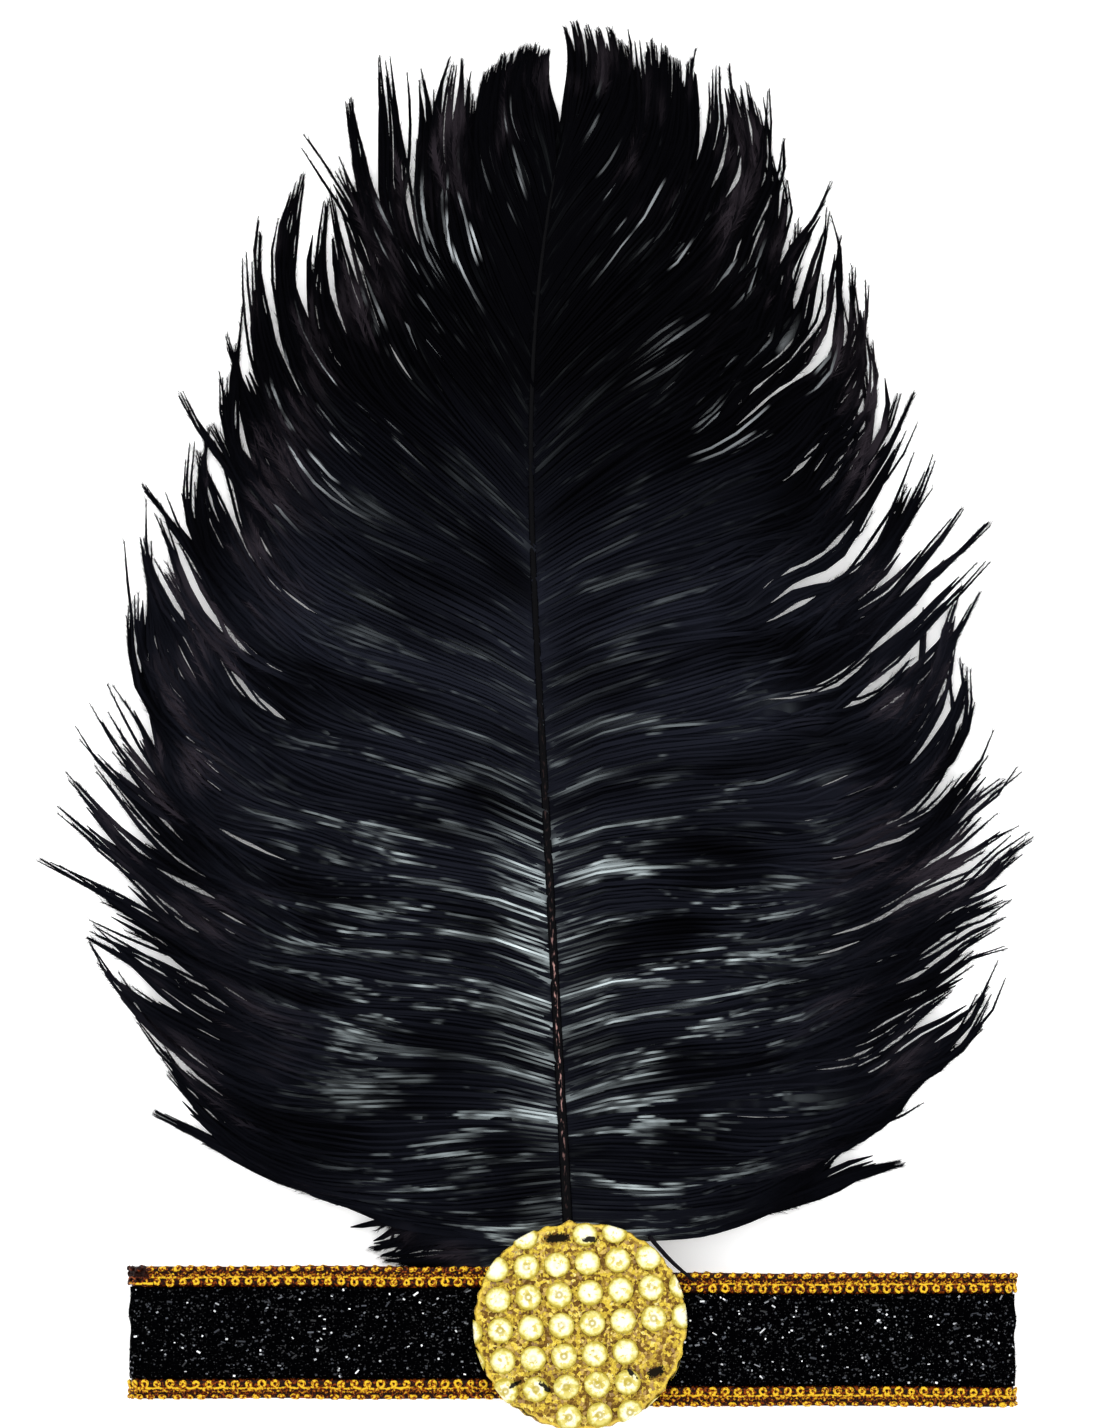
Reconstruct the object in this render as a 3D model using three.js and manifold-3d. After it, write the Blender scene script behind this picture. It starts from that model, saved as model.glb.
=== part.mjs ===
// A flapper headband lying on its back: an elastic band pressed flat into a loop, a domed disc dotted with
// sequins on the front of the band, and an ostrich plume whose quill is held between the two.
// Millimetres, +Z up. X runs along the band, Y runs towards the plume's tip, and the back of the loop lies
// on Z = 0. The origin is on that back face, behind the middle of the band.

import * as THREE from 'three';
import { mergeVertices } from 'three/addons/utils/BufferGeometryUtils.js';
import Module from 'manifold-3d';

// Band
const BAND_LENGTH = 200; // from fold to fold
const BAND_WIDTH = 30;
const BAND_THICKNESS = 1.8;
const BAND_OPENING = 7; // air between the front run and the back run
const BAND_SHIFT = 0.8; // the left half sits this far above the middle line, the right half as far below
const BRAID_WIDTH = 4.6; // gold braid along each side of the band

// Disc
const DISC_DIAMETER = 48;
const DISC_RIM_HEIGHT = 4.2;
const DISC_CROWN = 2.2; // how far the domed face rises above the rim
const DISC_SHOULDER = 1.2; // rounding between the rim and the domed face
const DISC_OFFSET = 2.9; // the disc's centre above the band's middle line

// Sequins
const SEQUIN_DIAMETER = 5.4;
const SEQUIN_THICKNESS = 0.3;
const SEQUIN_HOLE = 1.2;
const SEQUIN_CUP = 0.4; // how far the sequin's edge stands above its middle
const SEQUIN_SPACE = 1.45; // between neighbours in a row
const SEQUIN_TURN_DEG = 4; // the rows rise to the right
const SEQUIN_DROP = 0.7; // the middle row lies this far below the disc's centre
const SEQUIN_ROW_SPREAD = 0.02; // each row higher up lies this share further from the one below
const SEQUIN_MARGIN = 0.3; // from the outermost sequins to the disc's edge

// Plume
const PLUME_HEIGHT = 265; // from the lowest lock's root to the topmost tip
const PLUME_HALF_WIDTH = 112;
const SHAFT_LENGTH = 232; // the barbed stretch
const QUILL_LENGTH = 40; // the bare foot below it, mostly behind the disc
const QUILL_OFFSET = 2.2; // the foot lies this far left of the band's middle
const QUILL_DIAMETER = 2.4;
const SHAFT_TIP_DIAMETER = 0.9;
const SHAFT_ARCH = 4; // how far the shaft bows up from the floor
const SHAFT_TIP_HEIGHT = 5; // the shaft's tip above the floor
const SPINE_WIDTH = 4; // solid root strip of each vane, beside the shaft
const SPINE_THICKNESS = 2;
const LOCK_THICKNESS = 2.6; // along the ridge of a lock
const LOCK_TIP_HEIGHT = 0.6; // a lock's tip above the floor
const LOCK_WIDEST = 16;
const LOCK_TILT_DEG = 8; // each lock overlaps the next one, as tiles do

// Between pieces
const SEAT_GAP = 0.3;
const ROOT_CLEARANCE = 3.5; // from the disc to the lowest lock's root

// How finely curves are cut
const FOLD_SEGMENTS = 6;
const SHAFT_STATIONS = 14;
const LOCK_STATIONS = 6;
const TUBE_SIDES = 8;
const DISC_SIDES = 36;
const DOME_STEPS = 4;
const SEQUIN_SIDES = 12;

// The shaft's sideways bow. at is a share of the barbed stretch, side a share of the plume's half width,
// counted from the quill's foot.
const SHAFT_BOW = [
  { at: 0, side: -0.008 },
  { at: 0.25, side: -0.035 },
  { at: 0.5, side: -0.062 },
  { at: 0.75, side: -0.08 },
  { at: 0.9, side: -0.06 },
  { at: 1, side: -0.029 },
];

// A row for each main lock. at is where it leaves the shaft, as a share of the barbed stretch. reach is how far
// it goes sideways, as a share of the half width, and rise how far up, as a share of the plume's height.
// leave is its angle from the shaft at the root, and arrive its angle above the band's line at the tip.
const LEFT_LOCKS = [
  { at: 0, reach: 0.375, rise: -0.03, leave: 92, arrive: -5 },
  { at: 0.03, reach: 0.835, rise: 0.051, leave: 92, arrive: 22 },
  { at: 0.08, reach: 0.916, rise: 0.147, leave: 92, arrive: 62 },
  { at: 0.13, reach: 1.008, rise: 0.176, leave: 84, arrive: 40 },
  { at: 0.195, reach: 0.986, rise: 0.174, leave: 82, arrive: 45 },
  { at: 0.253, reach: 0.916, rise: 0.194, leave: 82, arrive: 58 },
  { at: 0.32, reach: 0.849, rise: 0.277, leave: 80, arrive: 88 },
  { at: 0.408, reach: 0.811, rise: 0.242, leave: 72, arrive: 58 },
  { at: 0.486, reach: 0.715, rise: 0.255, leave: 68, arrive: 65 },
  { at: 0.534, reach: 0.647, rise: 0.267, leave: 66, arrive: 75 },
  { at: 0.583, reach: 0.57, rise: 0.289, leave: 60, arrive: 82 },
  { at: 0.68, reach: 0.444, rise: 0.306, leave: 44, arrive: 68 },
  { at: 0.748, reach: 0.303, rise: 0.314, leave: 36, arrive: 84 },
  { at: 0.825, reach: 0.12, rise: 0.246, leave: 26, arrive: 95 },
  { at: 0.93, reach: 0.055, rise: 0.163, leave: 18, arrive: 95 },
  { at: 0.99, reach: 0.025, rise: 0.1, leave: 10, arrive: 92 },
];
const RIGHT_LOCKS = [
  { at: 0, reach: 0.669, rise: 0.03, leave: 104, arrive: 33 },
  { at: 0.03, reach: 0.824, rise: 0.127, leave: 94, arrive: 55 },
  { at: 0.1, reach: 0.865, rise: 0.143, leave: 80, arrive: 28 },
  { at: 0.16, reach: 0.928, rise: 0.139, leave: 82, arrive: 35 },
  { at: 0.2, reach: 0.976, rise: 0.127, leave: 86, arrive: 40 },
  { at: 0.26, reach: 0.92, rise: 0.143, leave: 86, arrive: 50 },
  { at: 0.331, reach: 0.857, rise: 0.221, leave: 84, arrive: 82 },
  { at: 0.399, reach: 0.886, rise: 0.221, leave: 74, arrive: 48 },
  { at: 0.466, reach: 0.8, rise: 0.221, leave: 74, arrive: 62 },
  { at: 0.525, reach: 0.757, rise: 0.229, leave: 70, arrive: 60 },
  { at: 0.593, reach: 0.643, rise: 0.28, leave: 68, arrive: 86 },
  { at: 0.66, reach: 0.598, rise: 0.284, leave: 54, arrive: 58 },
  { at: 0.735, reach: 0.46, rise: 0.295, leave: 46, arrive: 70 },
  { at: 0.82, reach: 0.267, rise: 0.255, leave: 38, arrive: 84 },
  { at: 0.93, reach: 0.11, rise: 0.184, leave: 28, arrive: 95 },
  { at: 0.99, reach: 0.045, rise: 0.132, leave: 12, arrive: 95 },
];
const SHORT_LOCK_REACH = 0.94; // a lock between two main ones stops this much short of their line

// A lock's width along its length, as a share of its widest.
const LOCK_TAPER = [
  { along: 0, width: 1.2 },
  { along: 0.3, width: 1 },
  { along: 0.6, width: 1 },
  { along: 0.8, width: 0.74 },
  { along: 0.93, width: 0.36 },
  { along: 1, width: 0.08 },
];
const LOCK_OVERLAP = 0.62; // half a lock's width, as a share of the distance to its neighbours
const LOCK_PULL = 0.4; // how strongly a lock's two ends steer its curve

// Places of the sequin grid, counted from the disc's centre, where the cloth lies bare.
const BARE_SPOTS = [{ column: 2, row: -1 }];

// Heights and places that follow from the sizes above
const loopHeight = BAND_OPENING + 2 * BAND_THICKNESS;
const discUnderside = loopHeight + SEAT_GAP;
const discRadius = DISC_DIAMETER / 2;
const domeRadius = discRadius - DISC_SHOULDER;
const domeCurvature = (domeRadius ** 2 + DISC_CROWN ** 2) / (2 * DISC_CROWN);
const quillHeight = loopHeight + SEAT_GAP + QUILL_DIAMETER / 2;
const lowestRoot = DISC_OFFSET + discRadius + ROOT_CLEARANCE;
const sequinPitch = SEQUIN_DIAMETER + SEQUIN_SPACE;

const UP = new THREE.Vector3(0, 0, 1);
const LEFT = -1;
const RIGHT = 1;

const wasm = await Module();
wasm.setup();

function toSolid(geometry) {
  const bare = new THREE.BufferGeometry().setAttribute('position', geometry.getAttribute('position'));
  if (geometry.index) bare.setIndex(geometry.index);
  const merged = mergeVertices(bare, 1e-4);
  const vertProperties = new Float32Array(merged.getAttribute('position').array);
  const triVerts = new Uint32Array(merged.index.array);
  return new wasm.Manifold(new wasm.Mesh({ numProp: 3, vertProperties, triVerts }));
}

function toGeometry(solid) {
  const mesh = solid.getMesh();
  const geometry = new THREE.BufferGeometry();
  geometry.setAttribute('position', new THREE.BufferAttribute(new Float32Array(mesh.vertProperties), 3));
  geometry.setIndex(new THREE.BufferAttribute(new Uint32Array(mesh.triVerts), 1));
  geometry.computeVertexNormals();
  return geometry;
}

// One closed skin through rings of equally many points, each ring anticlockwise about the way it travels.
function loft(rings) {
  const sides = rings[0].length;
  const faces = [];
  for (let k = 0; k + 1 < rings.length; k += 1) {
    for (let i = 0; i < sides; i += 1) {
      const a = k * sides + i;
      const b = k * sides + ((i + 1) % sides);
      faces.push(a, b, b + sides, a, b + sides, a + sides);
    }
  }
  const last = (rings.length - 1) * sides;
  for (let i = 1; i + 1 < sides; i += 1) {
    faces.push(0, i + 1, i);
    faces.push(last, last + i, last + i + 1);
  }
  const geometry = new THREE.BufferGeometry().setFromPoints(rings.flat());
  geometry.setIndex(faces);
  return geometry;
}

// A ring of points given as [sideways, upwards] across a path that passes through centre along tangent.
function ringAcross(centre, tangent, outline, tilt = 0) {
  const sideways = new THREE.Vector3().crossVectors(UP, tangent).normalize().applyAxisAngle(tangent, tilt);
  const upwards = new THREE.Vector3().crossVectors(tangent, sideways);
  return outline.map(([s, u]) => centre.clone().addScaledVector(sideways, s).addScaledVector(upwards, u));
}

function rectangle(fromSide, toSide, bottom, top) {
  return [[toSide, bottom], [toSide, top], [fromSide, top], [fromSide, bottom]];
}

function evenSteps(count, from = 0, to = 1) {
  return Array.from({ length: count }, (_, k) => from + ((to - from) * k) / (count - 1));
}

// A width read from the taper table, on straight lines from row to row.
function lockTaper(along) {
  const next = Math.max(1, LOCK_TAPER.findIndex((row) => row.along >= along - 1e-9));
  const [a, b] = [LOCK_TAPER[next - 1], LOCK_TAPER[next]];
  return THREE.MathUtils.mapLinear(along, a.along, b.along, a.width, b.width);
}

// Band: three flat strips side by side, each a whole loop

function bandShiftAt(x) {
  return -BAND_SHIFT * Math.tanh((4 * x) / DISC_DIAMETER);
}

function racetrack(outline, radius) {
  const middle = loopHeight / 2;
  const straight = BAND_LENGTH / 2 - middle;
  const underDisc = evenSteps(7, -discRadius, discRadius);
  const stations = [-straight, ...underDisc, straight];
  outline.moveTo(stations[0], middle - radius);
  stations.slice(1).forEach((x) => outline.lineTo(x, middle - radius));
  outline.absarc(straight, middle, radius, -Math.PI / 2, Math.PI / 2, false);
  stations.reverse().forEach((x) => outline.lineTo(x, middle + radius));
  outline.absarc(-straight, middle, radius, Math.PI / 2, (3 * Math.PI) / 2, false);
  return outline;
}

function loopStrip(fromY, toY) {
  const shape = racetrack(new THREE.Shape(), loopHeight / 2);
  shape.holes.push(racetrack(new THREE.Path(), BAND_OPENING / 2));
  const geometry = new THREE.ExtrudeGeometry(shape, {
    depth: toY - fromY,
    bevelEnabled: false,
    curveSegments: FOLD_SEGMENTS,
  });
  geometry.rotateX(Math.PI / 2); // the strip now runs from 0 towards -Y
  geometry.translate(0, toY, 0);
  const points = geometry.getAttribute('position');
  for (let i = 0; i < points.count; i += 1) {
    points.setY(i, points.getY(i) + bandShiftAt(points.getX(i)));
  }
  return toGeometry(toSolid(geometry));
}

// Shaft: a straight foot behind the disc, then the bowed stretch that carries the barbs

const footRow = { at: -QUILL_LENGTH / SHAFT_LENGTH, side: 0 };
const barbedStations = evenSteps(SHAFT_STATIONS);
const shaftCurve = new THREE.CatmullRomCurve3([footRow, ...SHAFT_BOW].map(({ at, side }) => {
  const along = Math.max(0, at);
  const fall = THREE.MathUtils.smoothstep(along, 0, 1) * (quillHeight - SHAFT_TIP_HEIGHT);
  const arch = SHAFT_ARCH * Math.sin(Math.PI * along) ** 2;
  const x = side * PLUME_HALF_WIDTH - QUILL_OFFSET;
  return new THREE.Vector3(x, lowestRoot + at * SHAFT_LENGTH, quillHeight - fall + arch);
}));

// The shaft's place and direction at a share of its barbed stretch, carried straight on beyond its tip.
function shaftAt(at) {
  const share = (at - footRow.at) / (1 - footRow.at);
  const tangent = shaftCurve.getTangentAt(Math.min(1, share));
  const point = shaftCurve.getPointAt(Math.min(1, share));
  point.addScaledVector(tangent, Math.max(0, at - 1) * SHAFT_LENGTH);
  return { point, tangent };
}

function shaftRadius(at) {
  return THREE.MathUtils.lerp(QUILL_DIAMETER, SHAFT_TIP_DIAMETER, THREE.MathUtils.clamp(at, 0, 1)) / 2;
}

function shaftGeometry() {
  const rings = [footRow.at, ...barbedStations].map((at) => {
    const { point, tangent } = shaftAt(at);
    const outline = evenSteps(TUBE_SIDES + 1, 0, 2 * Math.PI).slice(0, -1).map((turn) => {
      return [shaftRadius(at) * Math.cos(turn), shaftRadius(at) * Math.sin(turn)];
    });
    return ringAcross(point, tangent, outline);
  });
  return loft(rings);
}

// Vanes: a root strip beside the shaft with the locks fused to it

function sideBySide(locks) {
  return locks.flatMap((lock, k) => {
    if (k + 1 === locks.length) return [lock];
    const between = {};
    Object.keys(lock).forEach((key) => {
      between[key] = (lock[key] + locks[k + 1][key]) / 2;
    });
    return [lock, { ...between, reach: between.reach * SHORT_LOCK_REACH }];
  });
}

function spineOffset(at) {
  return shaftRadius(at) + SEAT_GAP + spineHalfWidth(at);
}

function spineHalfWidth(at) {
  return (SPINE_WIDTH / 2) * (1 - 0.5 * THREE.MathUtils.clamp(at, 0, 1));
}

function lockCurve(lock, side) {
  const { point } = shaftAt(lock.at);
  const root = point.clone().setX(point.x + side * spineOffset(lock.at));
  const tip = new THREE.Vector3(
    point.x + side * lock.reach * PLUME_HALF_WIDTH,
    point.y + lock.rise * PLUME_HEIGHT,
    LOCK_TIP_HEIGHT,
  );
  const pull = root.distanceTo(tip) * LOCK_PULL;
  const leave = THREE.MathUtils.degToRad(lock.leave);
  const arrive = THREE.MathUtils.degToRad(lock.arrive);
  const early = root.clone().add(new THREE.Vector3(side * Math.sin(leave), Math.cos(leave), 0).multiplyScalar(pull));
  const late = tip.clone().sub(new THREE.Vector3(side * Math.cos(arrive), Math.sin(arrive), 0).multiplyScalar(pull));
  late.z = THREE.MathUtils.lerp(root.z, tip.z, 0.5);
  return new THREE.CubicBezierCurve3(root, early, late, tip);
}

// How far a neighbour lies to the side of a lock at the same share of its length.
function distanceAcross(curve, neighbour, along) {
  const tangent = curve.getTangent(along);
  const away = neighbour.getPoint(along).sub(curve.getPoint(along));
  return Math.abs(away.x * tangent.y - away.y * tangent.x);
}

function lockGeometry(curves, k, side) {
  const curve = curves[k];
  const neighbours = [curves[k - 1], curves[k + 1]].filter(Boolean);
  const rings = evenSteps(LOCK_STATIONS).map((along) => {
    const distances = neighbours.map((other) => distanceAcross(curve, other, along));
    const spacing = distances.reduce((sum, value) => sum + value, 0) / distances.length;
    const halfWidth = Math.min(spacing * LOCK_OVERLAP, LOCK_WIDEST / 2) * lockTaper(along);
    const halfThickness = (LOCK_THICKNESS / 2) * Math.sqrt(lockTaper(along));
    const diamond = [[halfWidth, 0], [0, halfThickness], [-halfWidth, 0], [0, -halfThickness]];
    const tilt = side * THREE.MathUtils.degToRad(LOCK_TILT_DEG);
    return ringAcross(curve.getPoint(along), curve.getTangent(along), diamond, tilt);
  });
  return loft(rings);
}

function spineGeometry(side) {
  const rings = barbedStations.map((at) => {
    const { point, tangent } = shaftAt(at);
    const centre = -side * spineOffset(at);
    const half = spineHalfWidth(at);
    const outline = rectangle(centre - half, centre + half, -SPINE_THICKNESS / 2, SPINE_THICKNESS / 2);
    return ringAcross(point, tangent, outline);
  });
  return loft(rings);
}

// Everything from the shaft's clearance on one side to well across the shaft.
function acrossShaft(side) {
  const reach = PLUME_HALF_WIDTH / 2;
  const rings = [footRow.at, ...barbedStations, 1.5].map((at) => {
    const { point, tangent } = shaftAt(at);
    const near = -side * (shaftRadius(at) + SEAT_GAP);
    const far = side * reach;
    return ringAcross(point, tangent, rectangle(Math.min(near, far), Math.max(near, far), -reach, reach));
  });
  return loft(rings);
}

function vaneGeometry(locks, side) {
  const curves = sideBySide(locks).map((lock) => lockCurve(lock, side));
  let vane = toSolid(spineGeometry(side));
  curves.forEach((_, k) => {
    vane = vane.add(toSolid(lockGeometry(curves, k, side)));
  });
  return toGeometry(vane.subtract(toSolid(acrossShaft(side))));
}

// Disc: a padded dome with a groove underneath for the quill

function domeHeight(radius) {
  const sag = domeCurvature - Math.sqrt(domeCurvature ** 2 - radius ** 2);
  return DISC_RIM_HEIGHT + DISC_CROWN - sag;
}

function discGeometry() {
  const profile = [new THREE.Vector2(0, 0), new THREE.Vector2(discRadius, 0)];
  evenSteps(4, 0, Math.PI / 2).forEach((turn) => {
    const radius = domeRadius + DISC_SHOULDER * Math.cos(turn);
    profile.push(new THREE.Vector2(radius, DISC_RIM_HEIGHT - DISC_SHOULDER * (1 - Math.sin(turn))));
  });
  evenSteps(DOME_STEPS + 1, domeRadius, 0).slice(1).forEach((radius) => {
    profile.push(new THREE.Vector2(radius, domeHeight(radius)));
  });
  const dome = new THREE.LatheGeometry(profile, DISC_SIDES);
  dome.rotateX(Math.PI / 2);
  dome.translate(0, DISC_OFFSET, discUnderside);
  const groove = [footRow.at, 0].map((at) => {
    const { point, tangent } = shaftAt(at);
    if (at < 0) point.addScaledVector(tangent, -SEAT_GAP);
    const half = QUILL_DIAMETER / 2 + SEAT_GAP;
    return ringAcross(point, tangent, rectangle(-half, half, -quillHeight / 2, half));
  });
  return toGeometry(toSolid(dome).subtract(toSolid(loft(groove))));
}

// Sequins: shallow cups on a square grid, each facing out from the dome

function sequinGeometry() {
  const hole = SEQUIN_HOLE / 2;
  const edge = SEQUIN_DIAMETER / 2;
  const profile = [
    new THREE.Vector2(hole, 0),
    new THREE.Vector2(edge, SEQUIN_CUP),
    new THREE.Vector2(edge, SEQUIN_CUP + SEQUIN_THICKNESS),
    new THREE.Vector2(hole, SEQUIN_THICKNESS),
    new THREE.Vector2(hole, 0),
  ];
  const cup = new THREE.LatheGeometry(profile, SEQUIN_SIDES);
  cup.rotateX(Math.PI / 2);
  return toGeometry(toSolid(cup));
}

function sequinPlaces() {
  const reach = discRadius - SEQUIN_DIAMETER / 2 - SEQUIN_MARGIN;
  const count = Math.ceil(reach / sequinPitch) + 1;
  const places = [];
  for (let row = count; row >= -count; row -= 1) {
    for (let column = -count; column < count; column += 1) {
      const place = new THREE.Vector2(column + 0.5, row * (1 + SEQUIN_ROW_SPREAD * row));
      place.multiplyScalar(sequinPitch);
      place.y -= SEQUIN_DROP;
      place.rotateAround(new THREE.Vector2(), THREE.MathUtils.degToRad(SEQUIN_TURN_DEG));
      const bare = BARE_SPOTS.some((spot) => spot.column === column && spot.row === row);
      if (place.length() <= reach && !bare) places.push(place);
    }
  }
  return places;
}

// Assembly

const group = new THREE.Group();

function addPiece(name, geometry, colour, roughness, metalness = 0) {
  const material = new THREE.MeshStandardMaterial({ color: colour, roughness, metalness });
  const piece = new THREE.Mesh(geometry, material);
  piece.name = name;
  group.add(piece);
  return piece;
}

const halfBand = BAND_WIDTH / 2;
const halfWeb = halfBand - BRAID_WIDTH - SEAT_GAP / 2;
const braidInner = halfWeb + SEAT_GAP;
addPiece('band_web', loopStrip(-halfWeb, halfWeb), 0x0c0c10, 0.7);
addPiece('gold_edge_upper', loopStrip(braidInner, halfBand), 0xb08a2e, 0.4, 0.6);
addPiece('gold_edge_lower', loopStrip(-halfBand, -braidInner), 0xb08a2e, 0.4, 0.6);
addPiece('feather_shaft', shaftGeometry(), 0x2c1d1a, 0.45);
addPiece('feather_vane_left', vaneGeometry(LEFT_LOCKS, LEFT), 0x0b0c10, 0.6);
addPiece('feather_vane_right', vaneGeometry(RIGHT_LOCKS, RIGHT), 0x0b0c10, 0.6);
addPiece('disc_pad', discGeometry(), 0x9a7a34, 0.6, 0.3);

const sequin = sequinGeometry();
const domeCentre = new THREE.Vector3(
  0,
  DISC_OFFSET,
  discUnderside + DISC_RIM_HEIGHT + DISC_CROWN - domeCurvature,
);
sequinPlaces().forEach((place, k) => {
  const height = discUnderside + domeHeight(place.length());
  const foot = new THREE.Vector3(place.x, DISC_OFFSET + place.y, height);
  const facing = foot.clone().sub(domeCentre).normalize();
  const piece = addPiece(`sequin_${String(k + 1).padStart(2, '0')}`, sequin, 0xe9e3c8, 0.25, 0.1);
  piece.position.copy(foot).addScaledVector(facing, SEAT_GAP);
  piece.quaternion.setFromUnitVectors(UP, facing);
});

export default group;
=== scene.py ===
"""A flapper headband with an ostrich plume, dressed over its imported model.

The file is laid out as an add-on: sizes and colours are scene properties, and each group of pieces has an
operator. Shapes are worked out in millimetres and stored in metres.
"""
import math
from typing import NamedTuple

import bpy
import numpy as np
from bpy.props import FloatProperty, FloatVectorProperty, IntProperty, PointerProperty
from bpy.types import Operator, Panel, PropertyGroup
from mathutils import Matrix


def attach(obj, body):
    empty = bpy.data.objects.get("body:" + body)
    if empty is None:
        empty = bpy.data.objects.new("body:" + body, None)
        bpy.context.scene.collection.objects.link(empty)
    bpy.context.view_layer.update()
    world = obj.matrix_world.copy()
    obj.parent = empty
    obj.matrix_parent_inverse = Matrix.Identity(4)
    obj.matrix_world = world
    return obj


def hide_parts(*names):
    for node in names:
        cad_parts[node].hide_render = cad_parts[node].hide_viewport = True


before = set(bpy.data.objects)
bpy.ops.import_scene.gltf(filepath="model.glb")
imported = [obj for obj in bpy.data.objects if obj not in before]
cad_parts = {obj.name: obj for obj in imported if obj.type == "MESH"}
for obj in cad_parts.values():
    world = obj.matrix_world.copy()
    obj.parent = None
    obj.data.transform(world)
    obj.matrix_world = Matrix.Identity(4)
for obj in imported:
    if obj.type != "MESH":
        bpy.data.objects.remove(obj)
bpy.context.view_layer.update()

bl_info = {
    "name": "Flapper feather headband",
    "version": (1, 0, 0),
    "blender": (4, 5, 0),
    "location": "3D View > Sidebar > Headband",
    "description": "Adds the plume, band, braid, disc and sequins of a flapper headband",
    "category": "Add Mesh",
}

MM = 0.001
UP = np.array([0.0, 0.0, 1.0])
LEFT = -1
RIGHT = 1

# Sine waves that make up one uneven surface
WAVES = 8

# Studio: the camera's sensor in mm, the height in metres at which the photograph's frame fits the view, half
# the floor's width in mm, and the soft box's size and place in metres and its lean in degrees
SENSOR_HEIGHT = 24
FRAMED_HEIGHT = 0.006
FLOOR_REACH = 4000
SOFT_BOX_SIZE = (0.9, 0.5)
SOFT_BOX_PLACE = (-0.25, 0.95, 0.95)
SOFT_BOX_LEAN = (-40, -8, 0)

# The photograph's frame, laid over the object
FRAME_HEIGHT = 321.3
FRAME_MIDDLE = (-6.75, 139.95)

# Plume
BARBED_FROM = 30.4
BARBED_LENGTH = 232
LOCK_TIP_HEIGHT = 0.6
TIP_PULL = 0.46
HOOK_RISE = 12
HOOK_RUN = 13
SHAFT_FOOT_RADIUS = 1.2
SHAFT_TIP_RADIUS = 0.45

# Columns: where a lock leaves the shaft, as a share of its barbed length; its tip's place across and along
# the plume in mm; its angle from the shaft at the root, and above the band's line at the tip, in degrees.
LEFT_LOCKS = np.array([
    (-0.06, -40, 15.9, 92, -2),
    (-0.045, -43.5, 18.5, 94, -5),
    (-0.02, -95, 49.2, 98, 27),
    (0.03, -91.6, 59.4, 96, 55),
    (0.055, -98.5, 70, 95, 60),
    (0.068, -104, 80, 96, 60),
    (0.08, -109, 88.5, 98, 62),
    (0.13, -115, 98, 98, 30),
    (0.16, -119, 109, 96, 38),
    (0.195, -117.5, 124, 94, 45),
    (0.253, -110, 141.5, 94, 58),
    (0.29, -100, 160, 94, 92),
    (0.32, -99, 178, 92, 95),
    (0.36, -97, 187, 88, 85),
    (0.385, -96, 184, 86, 72),
    (0.408, -98, 190.5, 84, 58),
    (0.45, -86, 205, 82, 95),
    (0.486, -88, 212, 79, 65),
    (0.51, -76, 231, 74, 104),
    (0.534, -80.5, 224, 74, 75),
    (0.583, -71, 246, 67, 98),
    (0.602, -65.5, 256, 64, 103),
    (0.62, -62.5, 260.5, 60, 102),
    (0.64, -58.5, 254, 54, 92),
    (0.658, -56, 257, 51, 80),
    (0.68, -61.7, 269.5, 46, 55),
    (0.697, -55, 265, 44, 70),
    (0.715, -51, 275, 42, 85),
    (0.748, -45, 287.5, 36, 88),
    (0.768, -36.5, 284.9, 32, 78),
    (0.79, -28.8, 287.1, 30, 108),
    (0.812, -25.7, 286.7, 28, 92),
    (0.832, -23.4, 277.2, 24, 96),
    (0.86, -21.6, 283.5, 22, 100),
    (0.9, -18, 288, 18, 104),
    (0.94, -13.5, 289.4, 12, 106),
    (0.98, -9.5, 290.5, 6, 106),
    (1, -7.2, 289.4, 0, 106),
])
RIGHT_LOCKS = np.array([
    (-0.035, 71.8, 38.4, 90, 22),
    (-0.01, 66, 49, 93, 38),
    (0.02, 79, 58.3, 96, 42),
    (0.05, 90, 70, 95, 52),
    (0.062, 91.5, 76, 95, 58),
    (0.075, 95, 83.5, 94, 64),
    (0.1, 95.5, 85.5, 94, 28),
    (0.14, 95.2, 98.3, 95, 38),
    (0.18, 100, 109, 96, 40),
    (0.2, 102, 110, 97, 38),
    (0.25, 99, 128.5, 97, 46),
    (0.29, 92.5, 132, 96, 66),
    (0.335, 85.5, 156, 95, 96),
    (0.37, 83, 168.8, 90, 90),
    (0.385, 86, 165, 88, 80),
    (0.4, 89.8, 166, 86, 68),
    (0.43, 91.4, 182, 85, 48),
    (0.448, 84, 186, 84, 58),
    (0.466, 80.3, 197, 83, 64),
    (0.5, 77.8, 196, 80, 72),
    (0.512, 74, 203, 79, 66),
    (0.525, 75.6, 211, 78, 64),
    (0.545, 70.2, 211.5, 75, 72),
    (0.565, 65, 218, 73, 98),
    (0.593, 62.1, 238, 70, 104),
    (0.63, 56.5, 251, 64, 104),
    (0.655, 57.2, 258.4, 57, 62),
    (0.668, 51, 250, 56, 92),
    (0.685, 44.1, 259.7, 54, 96),
    (0.705, 42.5, 268.7, 50, 102),
    (0.735, 41, 280, 46, 94),
    (0.755, 37.8, 281, 44, 104),
    (0.78, 32, 285.6, 42, 100),
    (0.8, 27, 289, 38, 86),
    (0.825, 22.5, 286.4, 34, 88),
    (0.85, 18.9, 289.8, 32, 92),
    (0.87, 16.2, 291.4, 30, 94),
    (0.9, 13, 284.9, 28, 98),
    (0.93, 10.4, 289.4, 24, 102),
    (0.96, 7.2, 294, 20, 104),
    (0.99, -1.8, 295.6, 16, 104),
    (1, -3.6, 294.2, 12, 104),
])
LOCKS = {LEFT: LEFT_LOCKS, RIGHT: RIGHT_LOCKS}
SIDE_NAMES = {LEFT: "left", RIGHT: "right"}
LOWEST_BARB = 15.9  # just above the band's upper edge
SIDE_MARK = 500  # keeps the two sides' strokes of light apart
CLUMPS = 90
BARB_STATIONS = 16
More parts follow.
